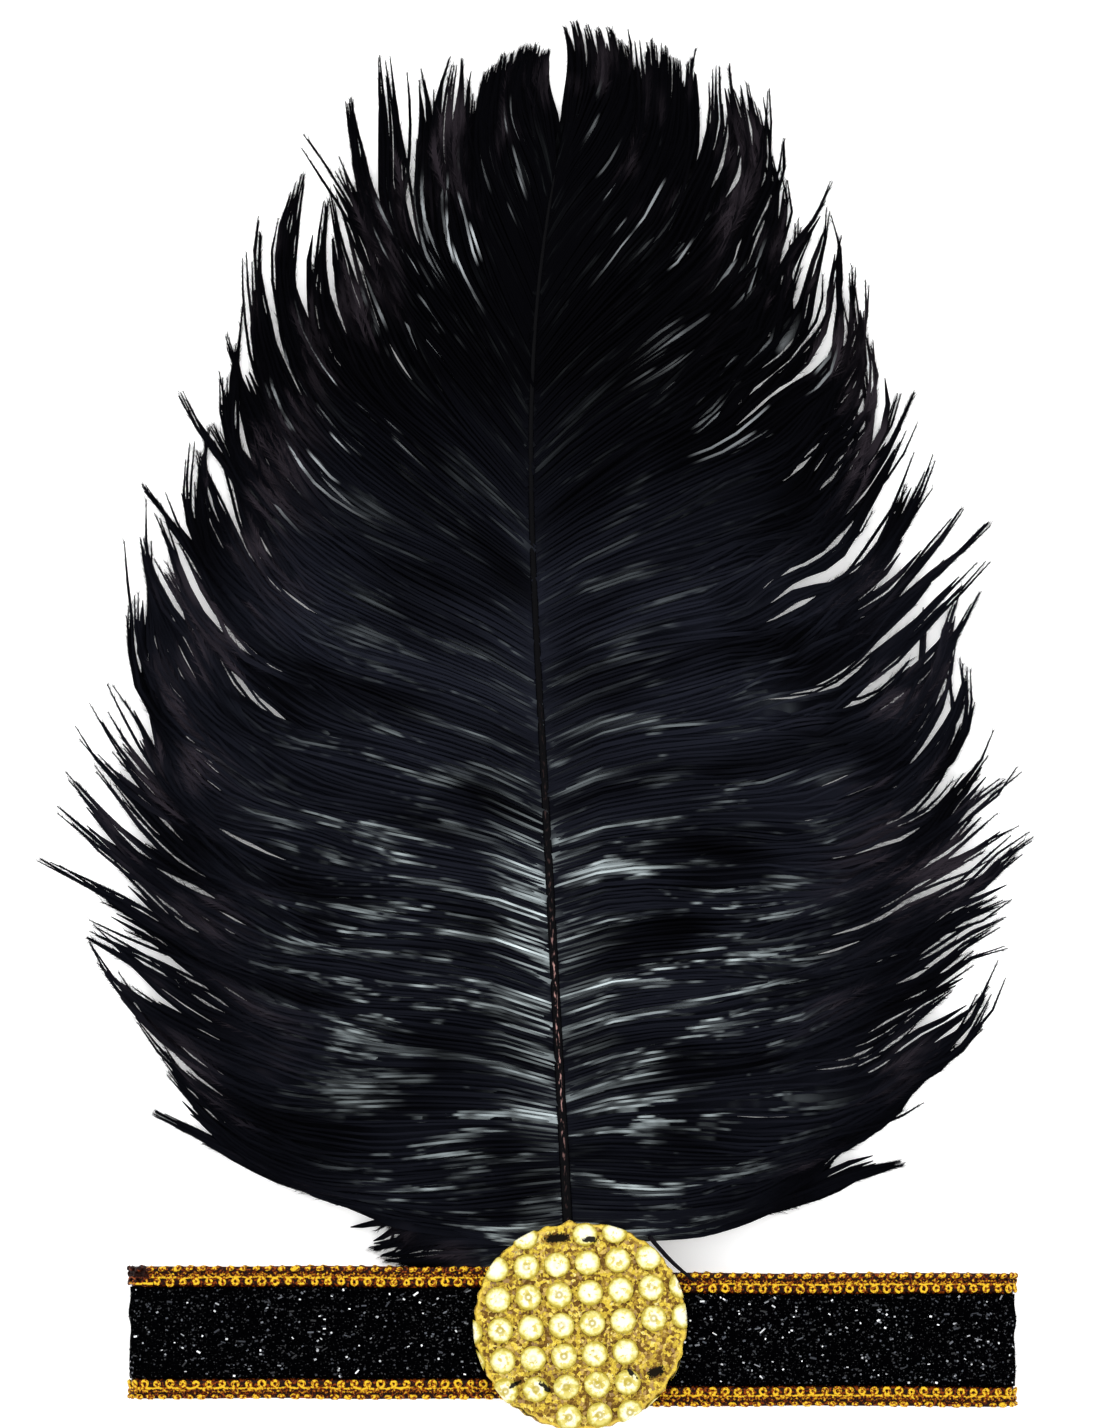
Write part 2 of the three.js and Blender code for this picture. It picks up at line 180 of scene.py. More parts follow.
BARB_TAPER = ((0, 0.8), (0.15, 0.9), (0.5, 0.95), (0.75, 1.3), (0.92, 1.1), (1, 0.35))
DOWN_TAPER = ((0, 1), (0.4, 1.1), (0.6, 0.85), (0.8, 0.55), (0.95, 0.35), (1, 0.08))

# Band
BAND_HALF_LENGTH = 100
LOOP_HALF_HEIGHT = 5.3
BAND_SHIFT = 0.8
HALF_WEB = 10.3
BRAID_FROM = 10.15
BRAID_TO = 15
WEB_SINK = 0.45
WEB_THICKNESS = 1.2

# The braid's rows, by their height above the band's middle line
RING_ROW = 11.75
CORD_ROW = 12.95
STEM_ROW = 13.2
BAR_ROW = 14.4

# Disc
DISC_RADIUS = 24
DISC_OFFSET = 2.9
DISC_UNDERSIDE = 10.9
DISC_RIM_HEIGHT = 4.2
DISC_CROWN = 2.2
DISC_SHOULDER = 1.2
DISC_FLAT = 0.045
SEQUIN_PITCH = 6.92
SEQUIN_TURN = math.radians(4.5)
SEQUIN_SHIFT = -0.7
SEQUIN_REACH = 27.5
TRIM_RADIUS = 23.6
GATHERS = 38

# Columns and rows of the sequin grid where the cloth is bare or folded away
BARE = ((-1, 3), (2, -1), (2, -2), (-2, -3), (3, -1), (-4, 1), (-4, -2), (3, 2), (2, 3), (-3, -3), (-4, 2))

# Folds in the disc's cloth, dented and painted dark with shade: middle, half length and half width in mm,
# and heading in degrees.
FOLDS = (
    (-5.2, 20, 2.8, 1.1, 6),
    (2.1, 19.7, 1.7, 0.8, 4),
    (17.2, -10.8, 2, 1.2, 20),
    (11.8, -11.2, 1.8, 0.5, -50),
    (-12.5, -20.5, 3.2, 0.7, -34),
    (-8, -14, 2.2, 0.5, -40),
    (-14.5, -13.5, 1.8, 0.5, 30),
)


class Wire:
    """An output socket that takes part in sums as a number does."""

    def __init__(self, paint, socket):
        self.paint = paint
        self.socket = socket

    def __add__(self, other):
        return self.paint.maths("ADD", self, other)

    def __radd__(self, other):
        return self.paint.maths("ADD", other, self)

    def __sub__(self, other):
        return self.paint.maths("SUBTRACT", self, other)

    def __rsub__(self, other):
        return self.paint.maths("SUBTRACT", other, self)

    def __mul__(self, other):
        return self.paint.maths("MULTIPLY", self, other)

    def __rmul__(self, other):
        return self.paint.maths("MULTIPLY", other, self)

    def __truediv__(self, other):
        return self.paint.maths("DIVIDE", self, other)


class Paint:
    """A new material and the nodes that make it up."""

    def __init__(self, name):
        self.material = bpy.data.materials.new(name)
        self.material.use_nodes = True
        self.tree = self.material.node_tree
        self.tree.nodes.clear()

    def node(self, kind, settings=None, sockets=None, output=0):
        """Adds a node, with its settings first and then its sockets' values or links."""
        made = self.tree.nodes.new(kind)
        for name, value in (settings or {}).items():
            if name == "stops":
                self.set_stops(made.color_ramp, value)
            else:
                setattr(made, name, value)
        for name, value in (sockets or {}).items():
            self.feed(made.inputs[name], value)
        return Wire(self, made.outputs[output]) if made.outputs else None

    def feed(self, socket, value):
        """Links a wire to a socket, or sets a plain value on it."""
        if isinstance(value, Wire):
            self.tree.links.new(value.socket, socket)
        elif socket.type == "RGBA":
            socket.default_value = (*value[:3], 1)
        else:
            socket.default_value = value

    @staticmethod
    def set_stops(ramp, stops):
        while len(ramp.elements) < len(stops):
            ramp.elements.new(1)
        for element, (position, colour) in zip(ramp.elements, stops):
            element.position = position
            shade = colour if isinstance(colour, tuple) else (colour, colour, colour)
            element.color = (*shade, 1)

    def maths(self, operation, *values):
        return self.node("ShaderNodeMath", {"operation": operation}, dict(enumerate(values)))

    def step(self, value, low, high):
        """0 below low, 1 above high and smooth between them."""
        sockets = {"Value": value, "From Min": low, "From Max": high}
        return self.node("ShaderNodeMapRange", {"interpolation_type": "SMOOTHSTEP"}, sockets)

    def mix(self, factor, first, second):
        return self.node("ShaderNodeMix", {"data_type": "RGBA"}, {0: factor, 6: first, 7: second}, 2)

    def ramp(self, value, *stops):
        return self.node("ShaderNodeValToRGB", {"stops": stops}, {0: value})

    def split(self, vector):
        """The three parts of a vector or a colour."""
        first = self.node("ShaderNodeSeparateXYZ", None, {0: vector})
        return [Wire(self, socket) for socket in first.socket.node.outputs]

    def join(self, x, y, z=0.0):
        return self.node("ShaderNodeCombineXYZ", None, {0: x, 1: y, 2: z})

    def attribute(self, name, output="Fac"):
        """A value stored at the mesh's points."""
        return self.node("ShaderNodeAttribute", {"attribute_name": name}, None, output)

    def place(self):
        """Where a point is, in millimetres."""
        metres = self.node("ShaderNodeTexCoord", None, None, "Object")
        return self.node("ShaderNodeVectorMath", {"operation": "SCALE"}, {0: metres, "Scale": 1 / MM})

    def noise(self, vector, scale=1.0, detail=2.0, roughness=0.5):
        sockets = {"Vector": vector, "Scale": scale, "Detail": detail, "Roughness": roughness}
        return self.node("ShaderNodeTexNoise", None, sockets)

    def bump(self, height, distance):
        """A normal from a height whose whole range is a distance in millimetres."""
        sockets = {"Height": height, "Distance": distance * MM, "Strength": 1.0}
        return self.node("ShaderNodeBump", None, sockets)

    def finish(self, **sockets):
        """Ends the material in one surface shader whose sockets are given by name."""
        named = {name.replace("_", " "): value for name, value in sockets.items()}
        shader = self.node("ShaderNodeBsdfPrincipled", None, named)
        self.node("ShaderNodeOutputMaterial", None, {"Surface": shader})
        return self.material


def add_mesh(name, points, faces, material, attributes=None):
    """A smooth-shaded object from points in millimetres and arrays of faces with equally many corners."""
    mesh = bpy.data.meshes.new(name)
    mesh.vertices.add(len(points))
    mesh.vertices.foreach_set("co", (np.asarray(points, dtype=np.float32) * MM).ravel())
    corners = np.concatenate([group.ravel() for group in faces]).astype(np.int32)
    sizes = np.concatenate([np.full(len(group), group.shape[1]) for group in faces])
    starts = np.concatenate([[0], np.cumsum(sizes)[:-1]]).astype(np.int32)
    mesh.loops.add(len(corners))
    mesh.loops.foreach_set("vertex_index", corners)
    mesh.polygons.add(len(sizes))
    mesh.polygons.foreach_set("loop_start", starts)
    for key, values in (attributes or {}).items():
        values = np.asarray(values, dtype=np.float32)
        if values.ndim == 2:
            mesh.attributes.new(key, "FLOAT_VECTOR", "POINT").data.foreach_set("vector", values.ravel())
        else:
            mesh.attributes.new(key, "FLOAT", "POINT").data.foreach_set("value", values)
    mesh.update(calc_edges=True)
    mesh.shade_smooth()
    mesh.materials.append(material)
    piece = bpy.data.objects.new(name, mesh)
    bpy.context.scene.collection.objects.link(piece)
    return piece


def dress(piece, slot, *nodes):
    """Says what a piece rides on and which solids it stands for. The slot is not used."""
    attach(piece, "root")
    if nodes:
        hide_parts(*nodes)


def unit(vectors):
    """Vectors of length 1."""
    return vectors / np.maximum(np.linalg.norm(vectors, axis=-1, keepdims=True), 1e-9)


def smooth(value, low, high):
    """0 below low, 1 above high and smooth between them."""
    share = np.clip((value - low) / (high - low), 0, 1)
    return share * share * (3 - 2 * share)


def ripples(rng, x, y):
    """Slow random waves over two coordinates, about one to a unit and mostly between -1 and 1."""
    total = 0
    for _ in range(WAVES):
        way, phase = rng.uniform(0, 2 * math.pi, 2)
        reach = rng.uniform(0.5, 1.2) * 2 * math.pi
        total = total + np.sin(reach * (x * math.cos(way) + y * math.sin(way)) + phase)
    return total / math.sqrt(2 * WAVES)


def ring_faces(here, there):
    """Faces between rings of point numbers and the rings after them, each ring closed."""
    corners = (here, there, np.roll(there, -1, axis=-1), np.roll(here, -1, axis=-1))
    return np.stack(corners, axis=-1).reshape(-1, 4)


def sweep(centres, across, above, outline, round_section=True):
    """Skins over many paths at once. centres, across and above have the shape (paths, stations, 3); outline
    holds the section's points as (across, above) and is shared or given for each station."""
    outline = np.asarray(outline, dtype=float)
    grid = centres[:, :, None] + across[:, :, None] * outline[..., 0, None]
    grid = grid + above[:, :, None] * outline[..., 1, None]
    index = np.arange(grid[..., 0].size).reshape(grid.shape[:3])
    here, there = index[:, :-1], index[:, 1:]
    if round_section:
        faces = ring_faces(here, there)[:, [0, 3, 2, 1]]
    else:
        quads = (here[..., :-1], here[..., 1:], there[..., 1:], there[..., :-1])
        faces = np.stack(quads, axis=-1).reshape(-1, 4)
    return grid.reshape(-1, 3), faces


def ring(sides, height=1.0):
    """Points round a section of radius 1, pressed to a height."""
    turns = np.arange(sides) * 2 * math.pi / sides
    return np.stack([np.cos(turns), height * np.sin(turns)], axis=-1)


def across_path(centres):
    """Unit vectors to the side of a path and above it, and its direction."""
    ahead = unit(np.gradient(centres, axis=1))
    side = unit(np.cross(UP, ahead))
    return side, np.cross(ahead, side), ahead


def fit_shaft():
    """The shaft's middle line: how far sideways and how high it is at a distance up the band's normal."""
    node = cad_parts["feather_shaft"]
    points = np.empty(len(node.data.vertices) * 3)
    node.data.vertices.foreach_get("co", points)
    x, y, z = points.reshape(-1, 3).T / MM
    return np.polyfit(y / 100, x, 6), np.polyfit(y / 100, z, 6), y.min(), y.max()


SHAFT_SIDE, SHAFT_HEIGHT, SHAFT_FROM, SHAFT_TO = fit_shaft()


def on_shaft(y):
    """Points of the shaft's middle line, which ends at its tip."""
    held = np.clip(y, SHAFT_FROM, SHAFT_TO) / 100
    return np.stack([np.polyval(SHAFT_SIDE, held), y, np.polyval(SHAFT_HEIGHT, held)], axis=-1)


def heading(side, degrees_from_shaft):
    """The direction that lies at an angle from the shaft, to one side."""
    turn = np.radians(degrees_from_shaft)
    return np.stack([side * np.sin(turn), np.cos(turn), np.zeros_like(turn)], axis=-1)


def along_locks(side, at, share):
    """Points on the line of a barb that leaves the shaft at a share of its barbed length."""
    locks = LOCKS[side]
    tip_x, tip_y, leave, arrive = (np.interp(at, locks[:, 0], locks[:, column]) for column in range(1, 5))
    root = on_shaft(BARBED_FROM + at * BARBED_LENGTH)
    tip = np.stack([tip_x, tip_y, np.full_like(tip_x, LOCK_TIP_HEIGHT)], axis=-1)
    length = np.linalg.norm(tip - root, axis=-1, keepdims=True)
    early = root + heading(side, leave) * length * (0.4 + 0.09 * smooth(at, 0.03, 0.1))[..., None]
    late = tip - heading(side, 90 - arrive) * length * TIP_PULL
    late[..., 2] = (root[..., 2] + tip[..., 2]) / 2
    t = share[..., None]
    curve = root * (1 - t) ** 3 + early * 3 * t * (1 - t) ** 2 + late * 3 * t ** 2 * (1 - t) + tip * t ** 3
    lift = HOOK_RISE * smooth(at, 0.01, 0.12) * (1 - smooth(at, 0.3, 0.9))
    curve[..., 1] += lift * (1 - np.exp(-share * length[..., 0] / HOOK_RUN) - share)
    return curve


def nearest(values, choices):
    """The number of the choice that each value lies nearest to."""
    return np.abs(values[:, None] - choices[None, :]).argmin(axis=1)


class Clumps(NamedTuple):
    """Small locks: places along the shaft, bends aside and the shares of their lines that they fill."""
    places: np.ndarray
    bends: np.ndarray
    ends: np.ndarray


def plan_clumps(side):
    """Small locks between and at the rows of a side's table."""
    rng = np.random.default_rng(40 + side)
    rows = LOCKS[side][:, 0]
    loose = np.linspace(0.045, 1, CLUMPS) + rng.uniform(-0.006, 0.006, CLUMPS)
    loose = loose[np.abs(loose[:, None] - rows[None]).min(axis=1) > 0.006]
    places = np.sort(np.concatenate([rows, loose]))
    is_row = np.isin(places, rows)
    calm = 1 - smooth(places, 0.72, 0.85)
    turns = np.where(np.arange(len(places)) % 2, 1, -1)
    bends = turns * rng.normal(2.6, 1.7, len(places)) * np.where(is_row, 0.5, 1) * calm
    bends = bends * smooth(places, 0.02, 0.06)
    ends = np.where(is_row, 1.01, 1 - 0.11 * rng.random(len(places)) ** 1.6 * calm)
    return Clumps(places, bends, ends)


class Barbs(NamedTuple):
    """Middle lines of many barbs, with each station's share of the whole line and each barb's own shade."""
    lines: np.ndarray
    shares: np.ndarray
    at: np.ndarray
    lengths: np.ndarray
    tint: np.ndarray


def grow_barbs(rng, side, count, layer, gather=1.0, fullest=1.0, raggedness=0.24):
    """Barbs from one side of the shaft, which gather into locks towards their tips."""
    rows = LOCKS[side][:, 0]
    clumps = plan_clumps(side)
    even = np.linspace(rows[0], 1, count) + rng.uniform(-0.4, 0.4, count) / count
    at = np.concatenate([rows[0] + rng.uniform(0, 0.025, 20), even])
    count = len(at)
    clump = nearest(at, clumps.places)
    small = clumps.places[clump]
    main = rows[nearest(small, rows)]
    calm = 1 - smooth(at, 0.74, 0.86)
    stray = (rng.random(count) < 0.06) & (at > 0.03)
    reach = fullest * clumps.ends[clump] * (1 - raggedness * (0.15 + 0.85 * calm) * rng.random(count) ** 2.4)
    share = reach[:, None] * np.linspace(0, 1, BARB_STATIONS)[None, :] ** 0.9
    pull = np.where(stray, 0.15, gather * rng.uniform(0.5, 0.95, count) * (0.3 + 0.7 * calm))[:, None]
    start = rng.uniform(0.46, 0.72, count)[:, None]
    soft = pull * smooth(share, start, 1.02)
    crowded = smooth(at, 0.54, 0.6) * (1 - smooth(at, 0.68, 0.74))
    firm = (0.33 - 0.2 * crowded)[:, None] * pull * smooth(share, 0.76, 1.1)
    place = at[:, None] + soft * (small - at)[:, None]
    place = place + firm * (main[:, None] - place)
    lines = along_locks(side, place, share)
    lengths = np.linalg.norm(np.diff(lines, axis=1), axis=2).sum(axis=1)
    along = share * lengths[:, None]
    shared = np.random.default_rng(60 + side)
    drift = ripples(shared, np.broadcast_to(at[:, None] * 22, share.shape), along / 34)
    fine = ripples(rng, np.broadcast_to(at[:, None] * 110, share.shape), along / 16)
    side_step, _, _ = across_path(lines)
    room = smooth(share, 0.05, 0.5) * (0.35 + 0.65 * calm)[:, None]
    away = clumps.bends[clump][:, None] * smooth(share, 0.62, 1.05) * pull
    away = away + (stray * rng.uniform(-5, 5, count))[:, None] * smooth(share, 0.45, 1)
    lines = lines + side_step * ((2.1 * drift + 0.5 * fine) * room + away)[..., None]
    lines[..., 2] += (0.5 * drift + 0.4 * fine) * room + layer * smooth(share, 0, 0.05) * (1 - share ** 2)
    uneven = 0.3 * np.sin(lines[..., 0] * 0.9 + 120 * at[:, None])
    lines[..., 1] = np.maximum(lines[..., 1], LOWEST_BARB + uneven)
    lines[..., 2] = np.maximum(lines[..., 2], 0.25)
    return Barbs(lines, share, at, lengths, rng.random(count))


def strand_marks(side, at, share, length):
    """Where points lie in the vane: along the shaft, along their barb, and as a share of the barb."""
    root = at * BARBED_LENGTH + (1 + side) * SIDE_MARK
    marks = np.stack(np.broadcast_arrays(root, share * length, share), axis=-1)
    return np.repeat(marks.reshape(-1, 3), 3, axis=0)


def barb_ribbons(rng, barbs, width, taper, fold):
    """Ribbons with a raised middle along each barb."""
    side_step, rise, _ = across_path(barbs.lines)
    along = np.linspace(0, 1, BARB_STATIONS)
    roll = 0.5 * ripples(rng, np.broadcast_to(barbs.at[:, None] * 60, barbs.shares.shape), barbs.shares * 3)
    turned = side_step * np.cos(roll)[..., None] + rise * np.sin(roll)[..., None]
    raised = rise * np.cos(roll)[..., None] - side_step * np.sin(roll)[..., None]
    half = width / 2 * np.interp(along, *zip(*taper))[None]
    section = np.array([(-1, 0), (0, fold), (1, 0)])
    outline = section[None, None] * half[..., None, None]
    return sweep(barbs.lines, turned, raised, outline, round_section=False)


def grow_barbules(rng, barbs, per_mm, longest):
    """Fine hairs along each barb, each one thin triangle swept towards the tip."""
    side_step, rise, ahead = across_path(barbs.lines)
    counts = np.maximum(2, (barbs.lengths * per_mm).astype(int))
    which = np.repeat(np.arange(len(counts)), counts)
    outer = rng.random(len(which)) < 0.42
    spot = np.where(outer, 0.6 + 0.4 * rng.random(len(which)) ** 0.8, rng.random(len(which)))
    spot = spot * (BARB_STATIONS - 1.01)
    station = spot.astype(int)
    part = (spot - station)[:, None]

    def between(values):
        return values[which, station] * (1 - part) + values[which, station + 1] * part

    foot = between(barbs.lines)
    share = between(barbs.shares[..., None])[:, 0]
    spread = 0.4 + 0.6 * smooth(share, 0.35, 0.7)
    spread = spread - 0.2 * smooth(share, 0.66, 0.9)
    sweep_angle = np.radians(rng.uniform(12, 34, len(which)) * spread)
    way = np.where(rng.random(len(which)) < 0.5, -1.0, 1.0)
    out = between(side_step) * (way * np.cos(rng.uniform(-0.7, 0.7, len(which))))[:, None]
    out = out + between(rise) * rng.uniform(-0.5, 0.5, len(which))[:, None]
    run = between(ahead) * np.cos(sweep_angle)[:, None] + out * np.sin(sweep_angle)[:, None]
    length = longest * rng.uniform(0.45, 1, len(which)) * (1 - 0.35 * smooth(share, 0.6, 1))
    tip = foot + run * length[:, None]
    tip[:, 2] = np.maximum(tip[:, 2], 0.2)
    width = between(ahead) * 0.09
    points = np.stack([foot - width, foot + width, tip], axis=1).reshape(-1, 3)
    faces = np.arange(len(points)).reshape(-1, 3)
    return points, faces, which, share, length


def feather_material(settings):
    """Black barbs with a painted bluish gleam: highlight strokes along them, strongest near the shaft's
    lower half.
    """
    paint = Paint("black_feather")
    root, along, share = paint.split(paint.attribute("strand", "Vector"))
    tint = paint.attribute("tint")
    hair = paint.attribute("hair")
    _, y, _ = paint.split(paint.place())
    sway = paint.noise(paint.join(root / 9, along / 13), 1.0, 1.0)
    broad = paint.noise(paint.join((root + sway * 6) / 2.5, along / 24), 1.0, 2.0, 0.55)
    soft = paint.noise(paint.join(root / 13, along / 34), 1.0, 2.0)
    fine = paint.noise(paint.join(root / 0.55, along / 22), 1.0, 1.0)
    region = paint.ramp(
        y / 300,
        (0.08, 0.6), (0.13, 0.8), (0.19, 0.6), (0.25, 0.95), (0.34, 0.85), (0.4, 0.3), (0.5, 0.14),
        (0.62, 0.04), (0.75, 0.01),
    )
    near = 1 - paint.step(share, 0.16, 0.62)
    grain = paint.step(fine, 0.42, 0.58) * 0.88 + 0.12
    # Painted highlights: lens-shaped strokes along the barbs and fine bright lines near their roots, mixed
    # into the base colour as the gleam
    stroke = paint.step(broad, 0.52, 0.66) * paint.step(soft, 0.36, 0.54) * grain
    left = 1 - paint.step(root, SIDE_MARK - 10, SIDE_MARK + 10)
    low = paint.ramp(y / 300, (0.14, 0.15), (0.22, 1.0), (0.37, 1.0), (0.45, 0.1), (0.6, 0))
    root_highlights = (1 - paint.step(along, 1, 12)) * paint.step(fine, 0.5, 0.66) * (left * 0.6 + 0.12) * low
    gleam = (stroke * (left * 0.1 + 0.8) + root_highlights) * region * near * (tint * 0.4 + 0.6) * (1 - hair * 0.25)
    # Painted highlights: thin bright lines along some barbs near the top of the plume
    crown = paint.ramp(y / 300, (0.6, 0), (0.68, 1.0), (0.88, 1.0), (0.95, 0))
    thread = paint.noise(paint.join(root / 3, along / 16), 1.0, 1.0)
    bright = paint.step(tint, 0.9 - left * 0.05, 0.94) * (1 - hair)
    middle = paint.step(share, 0.2, 0.42) * (1 - paint.step(share, 0.6, 0.78))
    lines = crown * bright * middle * paint.step(thread, 0.48, 0.62) * (left * 0.4 + 0.45)
    # Painted sheen: patches where the barbs take their lit colour instead of the shadow colour
    sheen_region = paint.ramp(y / 300, (0.1, 0.5), (0.4, 0.8), (0.54, 1.0), (0.62, 0.4), (0.72, 0.0))
    painted_sheen = sheen_region * paint.step(soft, 0.25, 0.65) * (1 - paint.step(share, 0.4, 0.8) * 0.55)
    body = paint.mix(painted_sheen, settings.shadow_colour, settings.barb_colour)
    veil = paint.step(share, 0.4, 0.7) * (1 - paint.step(share, 0.85, 1)) * paint.step(soft, 0.5, 0.64)
    body = paint.mix(veil * grain * (0.35 + hair * 0.65), body, settings.veil_colour)
    colour = paint.mix(gleam, body, settings.gleam_colour)
    colour = paint.mix(lines, colour, settings.crown_highlight_colour)
    return paint.finish(Base_Color=colour, Roughness=0.6, Specular_IOR_Level=0.01)


def on_shaft_line(paint, x, y):
    """How far a point lies to the side of the shaft's middle line in the lower half, in millimetres."""
    slope, start = np.polyfit((53, 87), np.polyval(SHAFT_SIDE, (0.53, 0.87)), 1)
    return paint.maths("ABSOLUTE", x - (y * float(slope) + float(start)))


def shaft_material(settings):
    """Dark dyed quill with a painted highlight of red-brown flecks along its middle line low down."""
    paint = Paint("dyed_quill")
    x, y, _ = paint.split(paint.place())
    flecks = paint.noise(paint.join(x / 0.4, y / 1.8), 1.0, 2.0)
    low = paint.ramp(y / 300, (0.12, 0.05), (0.18, 1.0), (0.28, 1.0), (0.32, 0.1), (0.5, 0.0))
    spine = on_shaft_line(paint, x, y)
    highlight_mask = paint.step(flecks, 0.52, 0.66) * low * (1 - paint.step(spine, 0.2, 0.45)) * 0.7
    colour = paint.mix(highlight_mask, settings.shadow_colour, settings.quill_highlight_colour)
    normal = paint.bump(flecks, 0.1)
    return paint.finish(Base_Color=colour, Roughness=0.45, Specular_IOR_Level=0.04, Normal=normal)


def loop_point(s, depth):
    """A point of the band's loop at a run s along its outer face and a depth under it, and the way out."""
    radius = LOOP_HALF_HEIGHT
    straight = 2 * (BAND_HALF_LENGTH - radius)
    arc = math.pi * radius
    s = np.mod(s, 2 * (straight + arc))
    front = s < straight
    right = (s >= straight) & (s < straight + arc)
    back = (s >= straight + arc) & (s < 2 * straight + arc)
    left_turn = (s - 2 * straight - arc) / radius + math.pi
    turn = np.where(right, (s - straight) / radius, np.where(back, math.pi, left_turn))
    turn = np.where(front, 0, turn)
    out = np.stack([np.sin(turn), np.zeros_like(turn), np.cos(turn)], axis=-1)
    x = np.where(front, s - straight / 2, np.where(back, straight / 2 - (s - straight - arc), 0))
    x = np.where(right, straight / 2, x)
    x = np.where(~(front | right | back), -straight / 2, x)
    centre = np.stack([x, np.zeros_like(x), np.full_like(x, radius)], axis=-1)
    return centre + out * (radius - np.asarray(depth))[..., None], out


LOOP_LENGTH = 4 * (BAND_HALF_LENGTH - LOOP_HALF_HEIGHT) + 2 * math.pi * LOOP_HALF_HEIGHT


def settle_band(points):
    """Moves points of the band to where it lies: its halves a little apart, its edges and folds uneven."""
    x, y = points[..., 0], points[..., 1]
    wave = ripples(np.random.default_rng(5), x / 30, y / 30 + points[..., 2] / 20)
    fold = smooth(np.abs(x), 90, 100)
    selvedge = ripples(np.random.default_rng(6), y / 6, np.zeros_like(y))
    moved = points.copy()
    moved[..., 0] -= np.sign(x) * fold * (0.1 + 0.25 * selvedge) + smooth(-x, 30, 100) * 1.9
    moved[..., 0] -= smooth(x, 30, 100) * 1.5
    moved[..., 2] = np.maximum(moved[..., 2], 0.02)
    moved[..., 1] += -BAND_SHIFT * np.tanh(4 * x / (2 * DISC_RADIUS)) + 0.15 * wave
    return moved


def loop_skin(outline, stations):
    """A strip all round the loop. outline holds the section's points as (y, depth)."""
    s = np.arange(stations) / stations * LOOP_LENGTH
    depth = np.broadcast_to([d for _, d in outline], (stations, len(outline)))
    run = np.broadcast_to(s[:, None], depth.shape)
    points, _ = loop_point(run, depth)
    points[..., 1] = [y for y, _ in outline]
    index = np.arange(depth.size).reshape(depth.shape)
    faces = ring_faces(index, np.roll(index, -1, axis=0))
    marks = np.stack([run, points[..., 1], depth], axis=-1)
    return points.reshape(-1, 3), faces, marks.reshape(-1, 3)


def loop_threads(s, y, depth, radius, sides):
    """Tubes over the loop's face, along runs s at heights y and depths, all shaped (threads, stations)."""
    centres, out = loop_point(s, depth)
    centres[..., 1] = y
    ahead = unit(np.gradient(centres, axis=1))
    beside = unit(np.cross(out, ahead))
    above = np.cross(ahead, beside)
    return sweep(centres, beside, above, ring(sides)[None, None] * np.asarray(radius)[..., None, None])


def web_material(settings):
    """Black ribbed elastic with faint woven-in lurex, its glints painted as pale specks."""
    paint = Paint("sparkle_elastic")
    run, y, _ = paint.split(paint.attribute("weave", "Vector"))
    rib = paint.maths("SINE", y * (2 * math.pi / 0.9))
    pick = paint.maths("SINE", run * (2 * math.pi / 0.7) + rib * 1.5)
    speckle = paint.noise(paint.join(run / 0.8, y / 0.5), 1.0, 2.0)
    dim = paint.noise(paint.join(run / 0.45, y / 0.45, 7.0), 1.0, 1.0)
    glint = paint.step(speckle, 0.66, 0.78) * 0.03 + paint.step(dim, 0.64, 0.76) * 0.045
    colour = paint.mix(glint, settings.web_colour, settings.glitter_colour)
    normal = paint.bump(rib * 0.5 + pick * 0.35, 0.12)
    return paint.finish(Base_Color=colour, Roughness=0.7, Specular_IOR_Level=0.0, Normal=normal)


def glitter_material(settings):
    """Flecks of lurex that catch the light to differing degrees."""
    paint = Paint("lurex_flecks")
    tint = paint.attribute("tint")
    shade = paint.ramp(tint, (0, 0.006), (0.45, 0.03), (0.7, 0.15), (0.9, 0.6), (1, 1.0))
    hue = paint.mix(paint.step(tint, 0.3, 0.9), (0.45, 0.55, 0.8), settings.glitter_colour)
    multiply = {"data_type": "RGBA", "blend_type": "MULTIPLY"}
    colour = paint.node("ShaderNodeMix", multiply, {0: 1.0, 6: hue, 7: shade}, 2)
    return paint.finish(Base_Color=colour, Roughness=0.35, Specular_IOR_Level=0.3)


def braid_material(settings):
    """Gold thread, amber cords and the dark red-brown ground between them."""
    paint = Paint("gold_braid_thread")
    hue = paint.attribute("hue")
    place = paint.place()
    fleck = paint.noise(place, 1.7, 2.0)
    wear = paint.noise(place, 0.22, 2.0)
    x, y, _ = paint.split(place)
    corner = (1 - paint.step(x, -98.5, -96)) * paint.step(y, 10, 11)
    shade = hue + (paint.step(fleck, 0.36, 0.64) - 0.55) * 1.1 - paint.step(wear, 0.5, 0.7) * 0.2 - corner
    colour = paint.ramp(
        shade,
        (0.0, tuple(settings.ground_colour)), (0.22, tuple(settings.rust_colour)),
        (0.5, tuple(settings.amber_colour)), (0.78, tuple(settings.gold_colour)),
        (1.0, tuple(settings.highlight_colour)),
    )
    normal = paint.bump(fleck, 0.12)
    return paint.finish(Base_Color=colour, Roughness=0.45, Specular_IOR_Level=0.08, Normal=normal)


